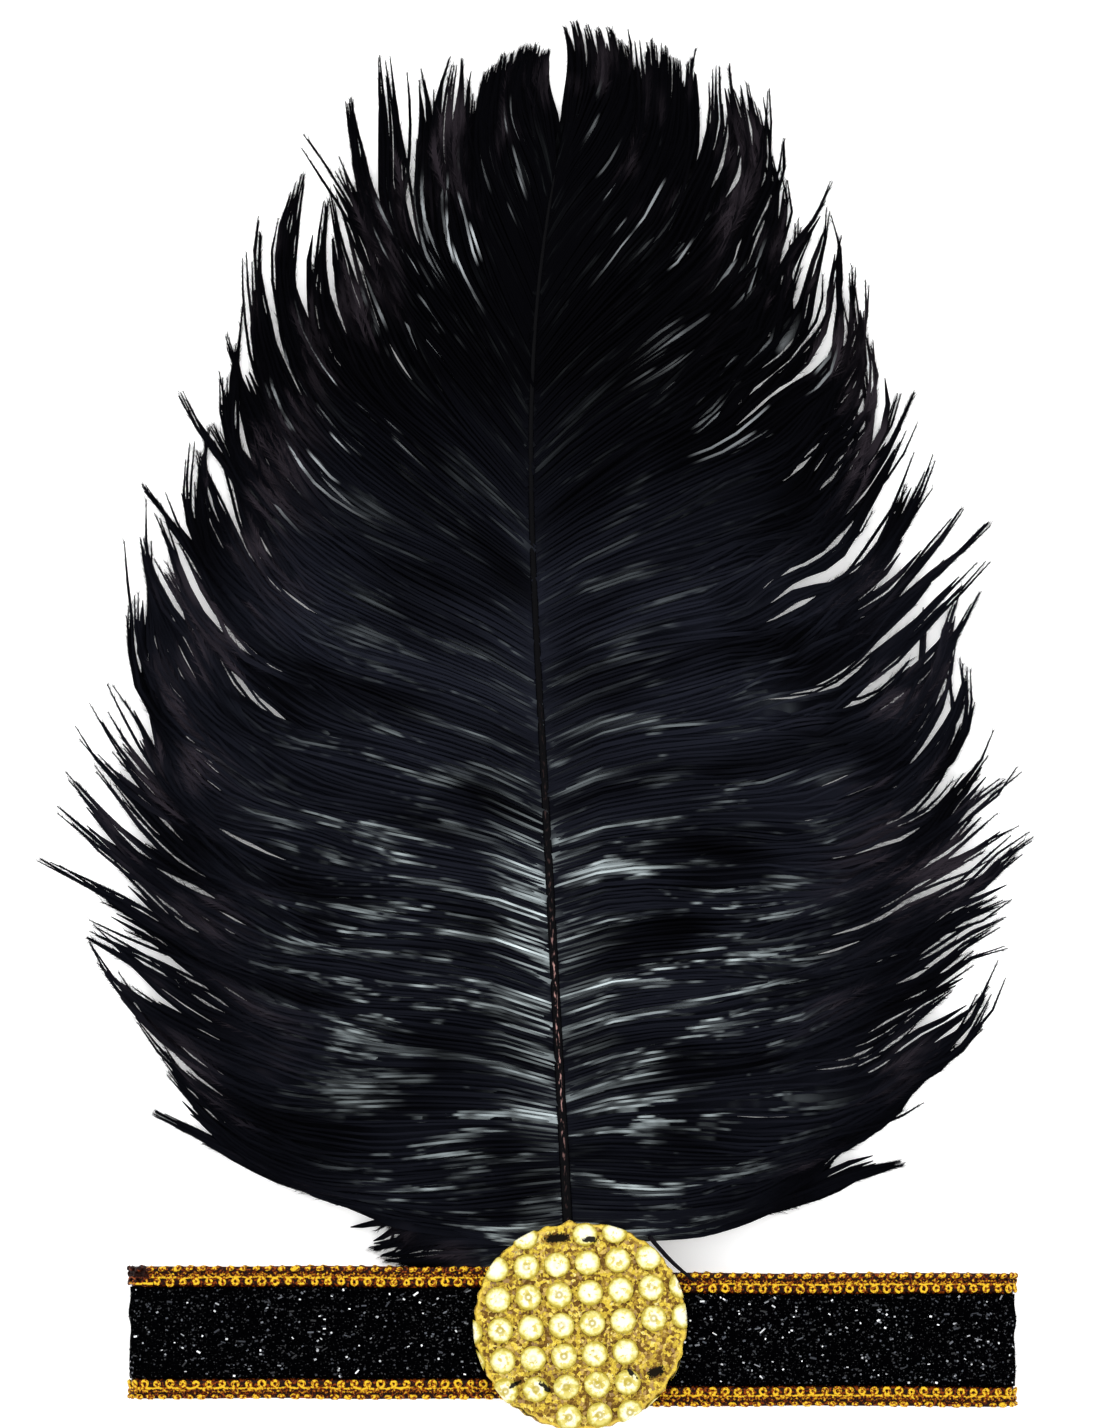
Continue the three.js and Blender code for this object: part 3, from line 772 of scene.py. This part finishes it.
def cloth_material(settings):
    """Mottled metallic gold cloth, with shade painted dark in its folds."""
    paint = Paint("mottled_gold_cloth")
    place = paint.place()
    cells = paint.node("ShaderNodeTexVoronoi", None, {"Vector": place, "Scale": 1.4}, "Color")
    red, green, _ = paint.split(cells)
    fine = paint.noise(place, 2.6, 2.0, 0.7)
    patch = paint.noise(place, 0.3, 3.0)
    shade = red * 0.85 + fine * 0.8 + patch * 0.6 - 0.8
    colour = paint.ramp(
        shade,
        (0.05, (0.12, 0.055, 0.006)), (0.25, (0.29, 0.17, 0.02)), (0.42, (0.46, 0.32, 0.03)),
        (0.6, (0.66, 0.48, 0.045)), (0.78, (0.78, 0.62, 0.13)), (0.92, (0.9, 0.82, 0.48)),
    )
    pink = paint.step(green, 0.78, 0.86) * 0.45
    colour = paint.mix(pink, colour, (0.5, 0.32, 0.14))
    ragged = (fine - 0.5) * 1.6 + (red - 0.5) * 0.35 + (patch - 0.5) * 0.6
    # Painted shade: the cloth darkens towards black deep in its folds
    fold = paint.step(paint.attribute("fold") + ragged, 0.3, 0.55)
    colour = paint.mix(fold, colour, settings.fold_shade_colour)
    trim = paint.attribute("trim")
    colour = paint.mix(trim * 0.8, colour, settings.trim_colour)
    normal = paint.bump(red * 0.6 + fine, 0.3)
    roughness = fold * 0.45 + 0.5
    return paint.finish(Base_Color=colour, Roughness=roughness, Specular_IOR_Level=0.12, Normal=normal)


def sequin_material(settings):
    """Pale gold sequins, blotched, with shade painted in olive-yellow at the cupped rim and in a ring round
    the hole.
    """
    paint = Paint("pale_gold_sequin")
    out = paint.attribute("out")
    tint = paint.attribute("tint")
    place = paint.place()
    cloud = paint.noise(place, 0.75, 3.0, 0.6)
    blotch = paint.step(cloud + tint * 0.05, 0.54, 0.64) * 0.9
    worn = paint.step(tint, 1.0, 1.8) * paint.step(cloud, 0.42, 0.56) * 0.6
    face = paint.mix(blotch, settings.sequin_colour, (0.5, 0.4, 0.06))
    face = paint.mix(worn, face, (0.42, 0.32, 0.03))
    # Painted shade: the face darkens towards the cupped rim, and the rim and a ring round the hole take the
    # olive shade colour
    edge = paint.step(out + (cloud - 0.5) * 0.9, 0.4, 0.8)
    face = paint.mix(edge * 0.85, face, (0.6, 0.53, 0.14))
    rim = paint.step(out + (cloud - 0.5) * 0.6, 0.74, 0.95)
    colour = paint.mix(rim, face, settings.rim_shade_colour)
    hole_shade_ring = paint.step(out, 0.06, 0.16) * (1 - paint.step(out, 0.24, 0.4))
    colour = paint.mix(hole_shade_ring * paint.step(tint, 0.35, 0.9) * 0.8, colour, settings.rim_shade_colour)
    # Painted shade: sequins that lie in a fold darken like the cloth there
    fold = paint.step(paint.attribute("fold") + (cloud - 0.5) * 1.2, 0.35, 0.55)
    colour = paint.mix(fold, colour, settings.fold_shade_colour)
    return paint.finish(Base_Color=colour, Roughness=fold * 0.5 + 0.25, Specular_IOR_Level=0.2)


def disc_profile():
    """The disc's section from its middle over the rim: run along it, radius and height."""
    dome_radius = DISC_RADIUS - DISC_SHOULDER
    curvature = (dome_radius ** 2 + DISC_CROWN ** 2) / (2 * DISC_CROWN)
    radius = np.linspace(0, dome_radius, 60)
    height = DISC_RIM_HEIGHT + DISC_CROWN - (curvature - np.sqrt(curvature ** 2 - radius ** 2))
    turn = np.linspace(math.pi / 2, 0, 10)[1:]
    radius = np.concatenate([radius, dome_radius + DISC_SHOULDER * np.cos(turn), [DISC_RADIUS - 0.2]])
    height = np.concatenate([height, DISC_RIM_HEIGHT - DISC_SHOULDER * (1 - np.sin(turn)), [0]])
    run = np.concatenate([[0], np.cumsum(np.hypot(np.diff(radius), np.diff(height)))])
    return run, radius, height


DISC_RUN, DISC_RADII, DISC_HEIGHTS = disc_profile()


def on_disc(x, y, proud):
    """Lays flat cloth over the disc: a point at (x, y) of the cloth, proud of its face."""
    run = np.hypot(x, y)
    turn = np.arctan2(y, x)
    radius = np.interp(run, DISC_RUN, DISC_RADII)
    height = np.interp(run, DISC_RUN, DISC_HEIGHTS)
    step = 0.3
    tilt = np.arctan2(
        np.interp(run - step, DISC_RUN, DISC_HEIGHTS) - np.interp(run + step, DISC_RUN, DISC_HEIGHTS),
        np.interp(run + step, DISC_RUN, DISC_RADII) - np.interp(run - step, DISC_RUN, DISC_RADII) + 1e-6,
    )
    radius = radius + proud * np.sin(tilt)
    radius = radius * (1 - DISC_FLAT * np.exp(-((turn - math.pi / 2) / 0.6) ** 2) * (run / DISC_RADIUS) ** 2)
    height = height + proud * np.cos(tilt)
    x, y = radius * np.cos(turn), DISC_OFFSET + radius * np.sin(turn)
    return np.stack([x, y, DISC_UNDERSIDE + height], axis=-1)


def fold_depth(x, y):
    """How deep the cloth lies in its folds at (x, y), from 0 to 1."""
    depth = np.zeros_like(x)
    for middle_x, middle_y, half_length, half_width, degrees in FOLDS:
        turn = math.radians(degrees)
        along = (x - middle_x) * math.cos(turn) + (y - middle_y) * math.sin(turn)
        beside = (y - middle_y) * math.cos(turn) - (x - middle_x) * math.sin(turn)
        depth = np.maximum(depth, np.exp(-((along / half_length) ** 4) - (beside / half_width) ** 2))
    return depth


def sequin_places():
    """Places of the sequins on the flat cloth, in a turned grid."""
    places = []
    for row in range(-4, 5):
        for column in range(-4, 5):
            x = (column + 0.5) * SEQUIN_PITCH
            y = row * SEQUIN_PITCH
            turned_x = x * math.cos(SEQUIN_TURN) - y * math.sin(SEQUIN_TURN) + SEQUIN_SHIFT
            turned_y = x * math.sin(SEQUIN_TURN) + y * math.cos(SEQUIN_TURN)
            if math.hypot(turned_x, turned_y) < SEQUIN_REACH and (column, row) not in BARE:
                places.append((turned_x, turned_y))
    return np.array(places)


def colour_setting(name, description, default):
    """A colour that the panel shows."""
    return FloatVectorProperty(name=name, description=description, subtype="COLOR", default=default)


def length_setting(name, description, default):
    """A length in metres that the panel shows."""
    return FloatProperty(name=name, description=description, default=default, unit="LENGTH")


class FeatherSettings(PropertyGroup):
    """Sizes and colours of the plume."""
    barbs: IntProperty(name="Barbs", description="Barbs in one layer on one side", default=300, min=40)
    barb_width: length_setting("Barb width", "Width of a barb at its widest", 0.0006)
    barbules: FloatProperty(
        name="Barbules", description="Fine hairs on each millimetre of a barb", default=3.2, min=0)
    barbule_length: length_setting("Barbule length", "Length of the longest fine hair", 0.0042)
    # Lit and shaded copies of the barbs' colour, between which the painted sheen mixes
    barb_colour: colour_setting("Barb colour", "Dyed barbs in the light", (0.008, 0.009, 0.0145))
    shadow_colour: colour_setting("Shadow colour", "Dyed barbs deep in the plume", (0.0005, 0.0005, 0.001))
    # Colour of the painted highlight strokes
    gleam_colour: colour_setting("Gleam colour", "Light strokes along the barbs", (0.62, 0.71, 0.73))
    # Colour of the painted highlight lines near the top
    crown_highlight_colour: colour_setting("Line colour", "Thin bright barbs near the top", (0.4, 0.43, 0.45))
    veil_colour: colour_setting("Veil colour", "Fine hairs at the margin", (0.04, 0.032, 0.04))
    # Colour of the painted highlight flecks on the quill
    quill_highlight_colour: colour_setting("Quill colour", "Flecks on the quill", (0.5, 0.28, 0.26))


class BandSettings(PropertyGroup):
    """Colours and flecks of the elastic."""
    web_colour: colour_setting("Elastic colour", "Black elastic", (0.0004, 0.0004, 0.0006))
    glitter_colour: colour_setting("Glitter colour", "Brightest flecks", (0.9, 0.92, 0.95))
    flecks: IntProperty(name="Flecks", description="Glitter flecks on the whole loop", default=2900, min=0)


class BraidSettings(PropertyGroup):
    """Sizes and colours of the gold braid."""
    loops: IntProperty(name="Loops", description="Thread loops round the whole band", default=144, min=20)
    thread: length_setting("Thread diameter", "Diameter of the gold thread", 0.00068)
    gold_colour: colour_setting("Gold", "Bright gold thread", (0.42, 0.205, 0.009))
    highlight_colour: colour_setting("Highlight", "Gold thread that catches the light", (0.68, 0.43, 0.02))
    amber_colour: colour_setting("Amber", "Amber cord", (0.24, 0.045, 0.002))
    rust_colour: colour_setting("Rust", "Red-brown cord", (0.075, 0.009, 0.001))
    ground_colour: colour_setting("Ground", "Cloth under the threads", (0.01, 0.0015, 0.0005))


class DiscSettings(PropertyGroup):
    """Sizes and colours of the sequinned disc."""
    sequin_diameter: length_setting("Sequin diameter", "Diameter of one sequin", 0.0058)
    sequin_colour: colour_setting("Sequin", "Face of a sequin", (0.8, 0.78, 0.58))
    # Colour of the painted shade at a sequin's rim and round its hole
    rim_shade_colour: colour_setting("Sequin rim", "Rim and hole of a sequin", (0.36, 0.28, 0.025))
    trim_colour: colour_setting("Trim", "Line round the disc", (0.72, 0.52, 0.06))
    # Colour of the painted shade deep in the folds
    fold_shade_colour: colour_setting("Fold", "Cloth deep in a fold", (0.006, 0.004, 0.001))


class StudioSettings(PropertyGroup):
    """The floor, the light and the camera."""
    camera_distance: length_setting("Camera distance", "From the camera to the floor", 5.0)
    floor_colour: colour_setting("Floor", "Pale floor", (0.97, 0.97, 0.97))
    sky: FloatProperty(name="Soft light", description="Strength of the light from all round", default=1.5)
    key: FloatProperty(
        name="Key light", description="Power of the soft box above the plume", default=5.0, unit="POWER")


class HEADBAND_OT_studio(Operator):
    """Adds the floor, the soft light and the camera that looks straight down."""
    bl_idname = "headband.add_studio"
    bl_label = "Studio"

    def execute(self, context):
        settings = context.scene.headband_studio
        scene = context.scene
        scene.view_settings.view_transform = "Standard"
        lens = bpy.data.cameras.new("camera")
        lens.sensor_fit = "VERTICAL"
        lens.sensor_height = SENSOR_HEIGHT
        lens.lens = SENSOR_HEIGHT * (settings.camera_distance - FRAMED_HEIGHT) / (FRAME_HEIGHT * MM)
        camera = bpy.data.objects.new("camera", lens)
        camera.location = (FRAME_MIDDLE[0] * MM, FRAME_MIDDLE[1] * MM, settings.camera_distance)
        scene.collection.objects.link(camera)
        scene.camera = camera
        paint = Paint("studio_floor")
        speck = paint.noise(paint.place(), 0.02, 2.0)
        lighter = tuple(min(1, channel + 0.01) for channel in settings.floor_colour)
        shade = paint.mix(speck, settings.floor_colour, lighter)
        matt = {"Roughness": 0.9, "Specular_IOR_Level": 0.1}
        material = paint.finish(Base_Color=shade, Emission_Color=(1, 1, 1), Emission_Strength=0.3, **matt)
        corners = FLOOR_REACH * np.array([(-1, -1, 0), (1, -1, 0), (1, 1, 0), (-1, 1, 0)])
        floor = add_mesh("floor", corners, [np.array([[0, 1, 2, 3]])], material)
        world = bpy.data.worlds.new("soft_room")
        world.use_nodes = True
        background = world.node_tree.nodes["Background"]
        background.inputs["Color"].default_value = (1, 1, 1, 1)
        background.inputs["Strength"].default_value = settings.sky
        scene.world = world
        box = bpy.data.lights.new("soft_box", "AREA")
        box.shape = "RECTANGLE"
        box.size, box.size_y = SOFT_BOX_SIZE
        box.energy = settings.key
        light = bpy.data.objects.new("soft_box", box)
        light.location = SOFT_BOX_PLACE
        light.rotation_euler = [math.radians(lean) for lean in SOFT_BOX_LEAN]
        scene.collection.objects.link(light)
        return {"FINISHED"}


class HEADBAND_OT_plume(Operator):
    """Adds the plume's barbs, the fine hairs on them and the dense down beneath."""
    bl_idname = "headband.add_plume"
    bl_label = "Plume"

    def execute(self, context):
        settings = context.scene.headband_feather
        material = feather_material(settings)
        width = settings.barb_width / MM
        for side in (LEFT, RIGHT):
            rng = np.random.default_rng(21 + side)
            upper = grow_barbs(rng, side, settings.barbs, 0.5)
            lower = grow_barbs(rng, side, settings.barbs, -0.4)
            for name, barbs in (("barbs_upper", upper), ("barbs_lower", lower)):
                self.add_barbs(rng, side, name, barbs, width, BARB_TAPER, 0.5, material)
            down = grow_barbs(rng, side, 250, -1.6, gather=0.7, fullest=0.95, raggedness=0.2)
            self.add_barbs(rng, side, "down", down, 3.2, DOWN_TAPER, 0.12, material)
            for name, barbs in (("hairs_upper", upper), ("hairs_lower", lower)):
                self.add_hairs(rng, side, name, barbs, settings, material)
        self.add_loose_strand(material)
        return {"FINISHED"}

    @staticmethod
    def add_to_vane(name, side, points, faces, material, marks, tint, is_hair):
        """One piece of a side's vane."""
        attributes = {"strand": marks, "tint": tint, "hair": np.full(len(points), is_hair)}
        piece = add_mesh(f"{name}_{SIDE_NAMES[side]}", points, [faces], material, attributes)
        dress(piece, "feather", f"feather_vane_{SIDE_NAMES[side]}")

    @staticmethod
    def add_loose_strand(material):
        """One barb that lies over the band's edge beside the disc."""
        t = np.linspace(0, 1, 12)
        x = 15.5 + 10.6 * t
        y = 22.6 - 10.2 * t - 0.8 * np.sin(math.pi * t)
        z = 11.3 + 0.9 * np.sin(math.pi * t) - 0.1 * t
        lines = np.stack([x, y, z], axis=-1)[None]
        side_step, rise, _ = across_path(lines)
        radius = 0.5 * (1 - 0.6 * t ** 3)
        outline = ring(8, 0.6)[None, None] * radius[None, :, None, None]
        points, faces = sweep(lines, side_step, rise, outline)
        none = np.zeros(len(points))
        marks = {"strand": np.tile((520.0, 60.0, 0.7), (len(points), 1)), "tint": none, "hair": none}
        piece = add_mesh("loose_strand", points, [faces], material, marks)
        dress(piece, "feather")

    def add_barbs(self, rng, side, name, barbs, width, taper, fold, material):
        """A ribbon for each barb, with three points at each of its stations."""
        points, faces = barb_ribbons(rng, barbs, width, taper, fold)
        points[:, 2] = np.maximum(points[:, 2], 0.15)
        marks = strand_marks(side, barbs.at[:, None], barbs.shares, barbs.lengths[:, None])
        tint = np.repeat(barbs.tint, BARB_STATIONS * 3)
        self.add_to_vane(name, side, points, faces, material, marks, tint, 0.0)

    def add_hairs(self, rng, side, name, barbs, settings, material):
        """The fine hairs along barbs, three points to a hair."""
        longest = settings.barbule_length / MM
        points, faces, which, share, length = grow_barbules(rng, barbs, settings.barbules, longest)
        marks = strand_marks(side, barbs.at[which], share, barbs.lengths[which])
        marks[2::3, 1] += length
        tint = np.repeat(np.clip(barbs.tint[which] + rng.uniform(-0.2, 0.2, len(which)), 0, 1), 3)
        self.add_to_vane(name, side, points, faces, material, marks, tint, 1.0)


class HEADBAND_OT_shaft(Operator):
    """Adds the quill and shaft."""
    bl_idname = "headband.add_shaft"
    bl_label = "Shaft"

    def execute(self, context):
        material = shaft_material(context.scene.headband_feather)
        y = np.linspace(SHAFT_FROM, SHAFT_TO, 90)
        centres = on_shaft(y)[None]
        side_step, rise, _ = across_path(centres)
        radius = np.interp(y, (BARBED_FROM, SHAFT_TO), (SHAFT_FOOT_RADIUS, SHAFT_TIP_RADIUS))
        radius[:2] *= (0.4, 0.85)
        radius[-3:] *= (0.9, 0.7, 0.3)
        outline = ring(16, 0.9)[None, None] * radius[None, :, None, None]
        points, faces = sweep(centres, side_step, rise, outline)
        ends = [np.arange(16)[None, ::-1], np.arange(len(points) - 16, len(points))[None]]
        piece = add_mesh("shaft", points, [faces, *ends], material)
        dress(piece, "quill", "feather_shaft")
        return {"FINISHED"}


class HEADBAND_OT_web(Operator):
    """Adds the black elastic loop and its glitter flecks."""
    bl_idname = "headband.add_web"
    bl_label = "Elastic"

    def execute(self, context):
        settings = context.scene.headband_band
        steps = np.linspace(-HALF_WEB, HALF_WEB, 25)
        outline = [(y, WEB_SINK + 0.06 * math.sin(7 * y)) for y in steps]
        outline += [(y, WEB_SINK + WEB_THICKNESS) for y in steps[::-1]]
        points, faces, marks = loop_skin(outline, 420)
        web = add_mesh("web", settle_band(points), [faces], web_material(settings), {"weave": marks})
        dress(web, "band_web", "band_web")
        flecks = self.add_flecks(settings)
        return {"FINISHED"}

    @staticmethod
    def add_flecks(settings):
        """Small flat flecks that lie a little above the web's face."""
        rng = np.random.default_rng(8)
        count = settings.flecks
        s = rng.uniform(0, LOOP_LENGTH, count)
        y = rng.uniform(-HALF_WEB + 0.4, HALF_WEB - 0.4, count)
        long = rng.uniform(0.14, 0.3, count)
        long = long * np.where(rng.random(count) < 0.15, rng.uniform(1.5, 3, count), 1)
        wide = rng.uniform(0.1, 0.22, count)
        turn = rng.normal(0, 0.5, count)
        points = []
        for a, b in ((-1, -1), (1, -1), (1, 1), (-1, 1)):
            run = a * long * np.cos(turn) - b * wide * np.sin(turn)
            rise = a * long * np.sin(turn) + b * wide * np.cos(turn)
            lift = 0.3 - 0.08 * a * rng.uniform(-1, 1, count)
            corner, _ = loop_point(s + run, lift)
            corner[:, 1] = y + rise
            points.append(corner)
        points = np.stack(points, axis=1).reshape(-1, 3)
        faces = np.arange(len(points)).reshape(-1, 4)
        tint = np.repeat(rng.random(count) ** 2, 4)
        material = glitter_material(settings)
        piece = add_mesh("web_flecks", settle_band(points), [faces], material, {"tint": tint})
        dress(piece, "band_web")
        return piece


class HEADBAND_OT_braid(Operator):
    """Adds the gold braid along both sides of the elastic."""
    bl_idname = "headband.add_braid"
    bl_label = "Braid"

    def execute(self, context):
        settings = context.scene.headband_braid
        material = braid_material(settings)
        edges = ((1, "upper", 0.95, 0.25), (-1, "lower", 1, 0.08))
        for sign, name, bar_run, bar_rise in edges:
            groups = [self.ground(), *self.threads(settings, bar_run, bar_rise)]
            if sign > 0:
                groups.append(self.end_thread())
            firsts = np.cumsum([0] + [len(points) for points, _, _ in groups])
            faces = [group[1] + first for group, first in zip(groups, firsts)]
            hues = np.concatenate([np.full(len(points), hue) for points, _, hue in groups])
            points = np.concatenate([points for points, _, _ in groups])
            points[:, 1] *= sign
            if sign < 0:
                faces = [group[:, ::-1] for group in faces]
            piece = add_mesh(f"braid_{name}", settle_band(points), faces, material, {"hue": hues})
            dress(piece, "gold_braid", f"gold_edge_{name}")
        return {"FINISHED"}

    @staticmethod
    def ground():
        """The cloth under the threads."""
        outline = [(BRAID_FROM, 0.9), (11.6, 0.7), (12.9, 0.8), (14.2, 0.65), (BRAID_TO - 0.2, 0.9)]
        outline += [(BRAID_TO - 0.2, 1.7), (BRAID_FROM, 1.7)]
        points, faces, _ = loop_skin(outline, 300)
        return points, faces, 0.0

    @staticmethod
    def end_thread():
        """A straight gold thread under the dark corner at the band's left end."""
        s = LOOP_LENGTH + np.linspace(-6.4, 0.5, 24)[None]
        points, faces = loop_threads(s, 11.1 + 0 * s, 0.1 + 0 * s, 0.3 + 0 * s, 6)
        return points, faces, 2.0

    @staticmethod
    def threads(settings, bar_run, bar_rise):
        """Rings beside the elastic, two twisted cords, stems across them, and bars along the outer edge."""
        rng = np.random.default_rng(12)
        count = settings.loops
        pitch = LOOP_LENGTH / count
        groups = []

        def add(s, y, depth, radius, sides, hue):
            groups.append((*loop_threads(*np.broadcast_arrays(s, y, depth, radius), sides), hue))

        turn = np.linspace(-math.pi, math.pi, 15)[None]
        start = (np.arange(count)[:, None] + 0.5) * pitch
        spread = rng.uniform(0.88, 1.1, (count, 1))
        s = start + pitch * turn / (2 * math.pi) - 1.25 * spread * np.sin(turn)
        y = RING_ROW - 0.88 * spread * np.cos(turn) + 0.07 * rng.normal(size=(count, 1))
        add(s, y, 0.34 - 0.22 * np.cos(turn), settings.thread / MM / 2, 6, 1.05)
        for ply, hue in ((0, 0.3), (math.pi, 0.5)):
            s = np.linspace(0, LOOP_LENGTH, count * 8 + 1)[None]
            twist = s / pitch * 4 * math.pi + ply
            add(s, CORD_ROW + 0.3 * np.cos(twist), 0.45 + 0.2 * np.sin(twist), 0.24, 5, hue)
        along = np.linspace(-1, 1, 7)[None]
        blunt = np.sqrt(np.clip(1.02 - along ** 4, 0.02, 1))
        start = (np.arange(count)[:, None] + rng.uniform(-0.1, 0.1, (count, 1))) * pitch
        size = rng.uniform(0.8, 1.1, (count, 1))
        centre = start + 0.5 * pitch
        s = centre + along * 0.3 * rng.uniform(-1, 1, (count, 1))
        add(s, STEM_ROW + along * 0.6, 0.3 + 0.3 * along ** 2, 0.4 * blunt * size, 6, 0.4)
        add(centre + along * 0.45, RING_ROW - 0.05, 0.6, 0.5 * blunt, 6, 0.2)
        y = BAR_ROW + along * bar_rise * size
        add(start + along * bar_run * size, y, 0.35 + 0.3 * along ** 2, 0.6 * size * blunt, 6, 0.8)
        return groups


class HEADBAND_OT_disc(Operator):
    """Adds the padded disc under its mottled gold cloth."""
    bl_idname = "headband.add_disc"
    bl_label = "Disc"

    def execute(self, context):
        material = cloth_material(context.scene.headband_disc)
        rng = np.random.default_rng(3)
        sides = 240
        run = np.linspace(0, DISC_RUN[-1], 110)[1:]
        turn = np.arange(sides) * 2 * math.pi / sides
        radius, angle = np.meshgrid(run, turn, indexing="ij")
        x = radius * np.cos(angle)
        y = radius * np.sin(angle)
        fold = fold_depth(x, y)
        crease = ripples(rng, x / 4.5, y / 4.5) * 0.13 + ripples(rng, x / 1.6, y / 1.6) * 0.06
        sway = 2 * ripples(rng, x / 12, y / 12)
        gather = smooth(radius, 20, 25) * 0.22 * np.sin(angle * GATHERS + sway)
        edge = smooth(radius, 22, 25)
        tuft = 0.9 * edge * np.exp(-((x + 2.4) / 1.1) ** 2) * (y > 0)
        proud = -0.2 + crease - 0.55 * fold + gather + tuft
        top = on_disc(x, y, proud)
        middle = on_disc(np.zeros(1), np.zeros(1), -0.2)
        base = top[-1].copy()
        base[:, 2] = DISC_UNDERSIDE
        under = np.array([[0, DISC_OFFSET, DISC_UNDERSIDE]])
        points = np.concatenate([top.reshape(-1, 3), middle, base, under])
        centre = top.shape[0] * sides
        rings = np.concatenate([np.arange(centre), centre + 1 + np.arange(sides)]).reshape(-1, sides)
        quads = ring_faces(rings[:-1], rings[1:])
        first, last = rings[0], rings[-1]
        fan = np.stack([np.full(sides, centre), first, np.roll(first, -1)], axis=-1)
        floor = np.stack([np.full(sides, len(points) - 1), np.roll(last, -1), last], axis=-1)
        rest = len(points) - fold.size
        trim = np.exp(-((radius - TRIM_RADIUS) / 0.5) ** 2)
        marks = {
            "fold": np.concatenate([fold.ravel(), np.zeros(rest)]),
            "trim": np.concatenate([trim.ravel(), np.zeros(rest)]),
        }
        disc = add_mesh("disc", points, [quads, fan, floor], material, marks)
        dress(disc, "disc_cloth", "disc_pad")
        return {"FINISHED"}


class HEADBAND_OT_sequins(Operator):
    """Adds the sequins, whole on the disc's face and bent over its rim."""
    bl_idname = "headband.add_sequins"
    bl_label = "Sequins"

    def execute(self, context):
        settings = context.scene.headband_disc
        rng = np.random.default_rng(17)
        places = sequin_places()
        edge = settings.sequin_diameter / MM / 2
        shares = np.array([0.0, 0.14, 0.24, 0.5, 0.8, 0.95, 1.0, 0.98])
        heights = np.array([0.3, 0.28, 0.33, 0.36, 0.42, 0.48, 0.44, 0.3])
        sides = 28
        turn = np.arange(sides) * 2 * math.pi / sides
        count = len(places)
        worn = smooth(-places[:, 1], 8, 15)
        lean = rng.uniform(-0.15, 0.15, (count, 2, 1, 1)) * (1 + 5 * worn[:, None, None, None])
        u = shares[:, None] * edge * np.cos(turn)[None]
        v = shares[:, None] * edge * np.sin(turn)[None]
        x = places[:, 0, None, None] + u[None]
        y = places[:, 1, None, None] + v[None]
        sag = lean[:, 0] * u[None] / edge + lean[:, 1] * v[None] / edge
        press = 1 - 0.75 * smooth(np.hypot(x, y), 21.5, 24.5)
        points = on_disc(x, y, (heights[None, :, None] + sag * 0.5) * press)
        index = np.arange(points[..., 0].size).reshape(points.shape[:3])
        quads = ring_faces(index[:, :-1], index[:, 1:])
        marks = {
            "out": np.broadcast_to(shares[None, :, None], index.shape).ravel(),
            "fold": fold_depth(x, y).ravel(),
            "tint": np.broadcast_to((rng.random(count) + worn)[:, None, None], index.shape).ravel(),
        }
        piece = add_mesh("sequins", points.reshape(-1, 3), [quads], sequin_material(settings), marks)
        nodes = [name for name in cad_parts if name.startswith("sequin_")]
        dress(piece, "sequin", *nodes)
        return {"FINISHED"}


class HEADBAND_PT_panel(Panel):
    """Lists the headband's pieces."""
    bl_label = "Flapper headband"
    bl_idname = "HEADBAND_PT_panel"
    bl_space_type = "VIEW_3D"
    bl_region_type = "UI"
    bl_category = "Headband"

    def draw(self, context):
        for operator in OPERATORS:
            self.layout.operator(operator.bl_idname)
        for holder in SETTINGS:
            group = getattr(context.scene, holder)
            for name in group.bl_rna.properties.keys():
                if name not in ("rna_type", "name"):
                    self.layout.prop(group, name)


OPERATORS = (
    HEADBAND_OT_studio,
    HEADBAND_OT_plume,
    HEADBAND_OT_shaft,
    HEADBAND_OT_web,
    HEADBAND_OT_braid,
    HEADBAND_OT_disc,
    HEADBAND_OT_sequins,
)
SETTINGS = {
    "headband_feather": FeatherSettings,
    "headband_band": BandSettings,
    "headband_braid": BraidSettings,
    "headband_disc": DiscSettings,
    "headband_studio": StudioSettings,
}


def register():
    for group in (*SETTINGS.values(), *OPERATORS, HEADBAND_PT_panel):
        bpy.utils.register_class(group)
    for holder, group in SETTINGS.items():
        setattr(bpy.types.Scene, holder, PointerProperty(type=group))


def unregister():
    for holder in SETTINGS:
        delattr(bpy.types.Scene, holder)
    for group in (HEADBAND_PT_panel, *reversed(OPERATORS), *SETTINGS.values()):
        bpy.utils.unregister_class(group)


def main():
    register()
    for operator in OPERATORS:
        group, action = operator.bl_idname.split(".")
        getattr(getattr(bpy.ops, group), action)()
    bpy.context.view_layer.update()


if __name__ == "__main__":
    main()
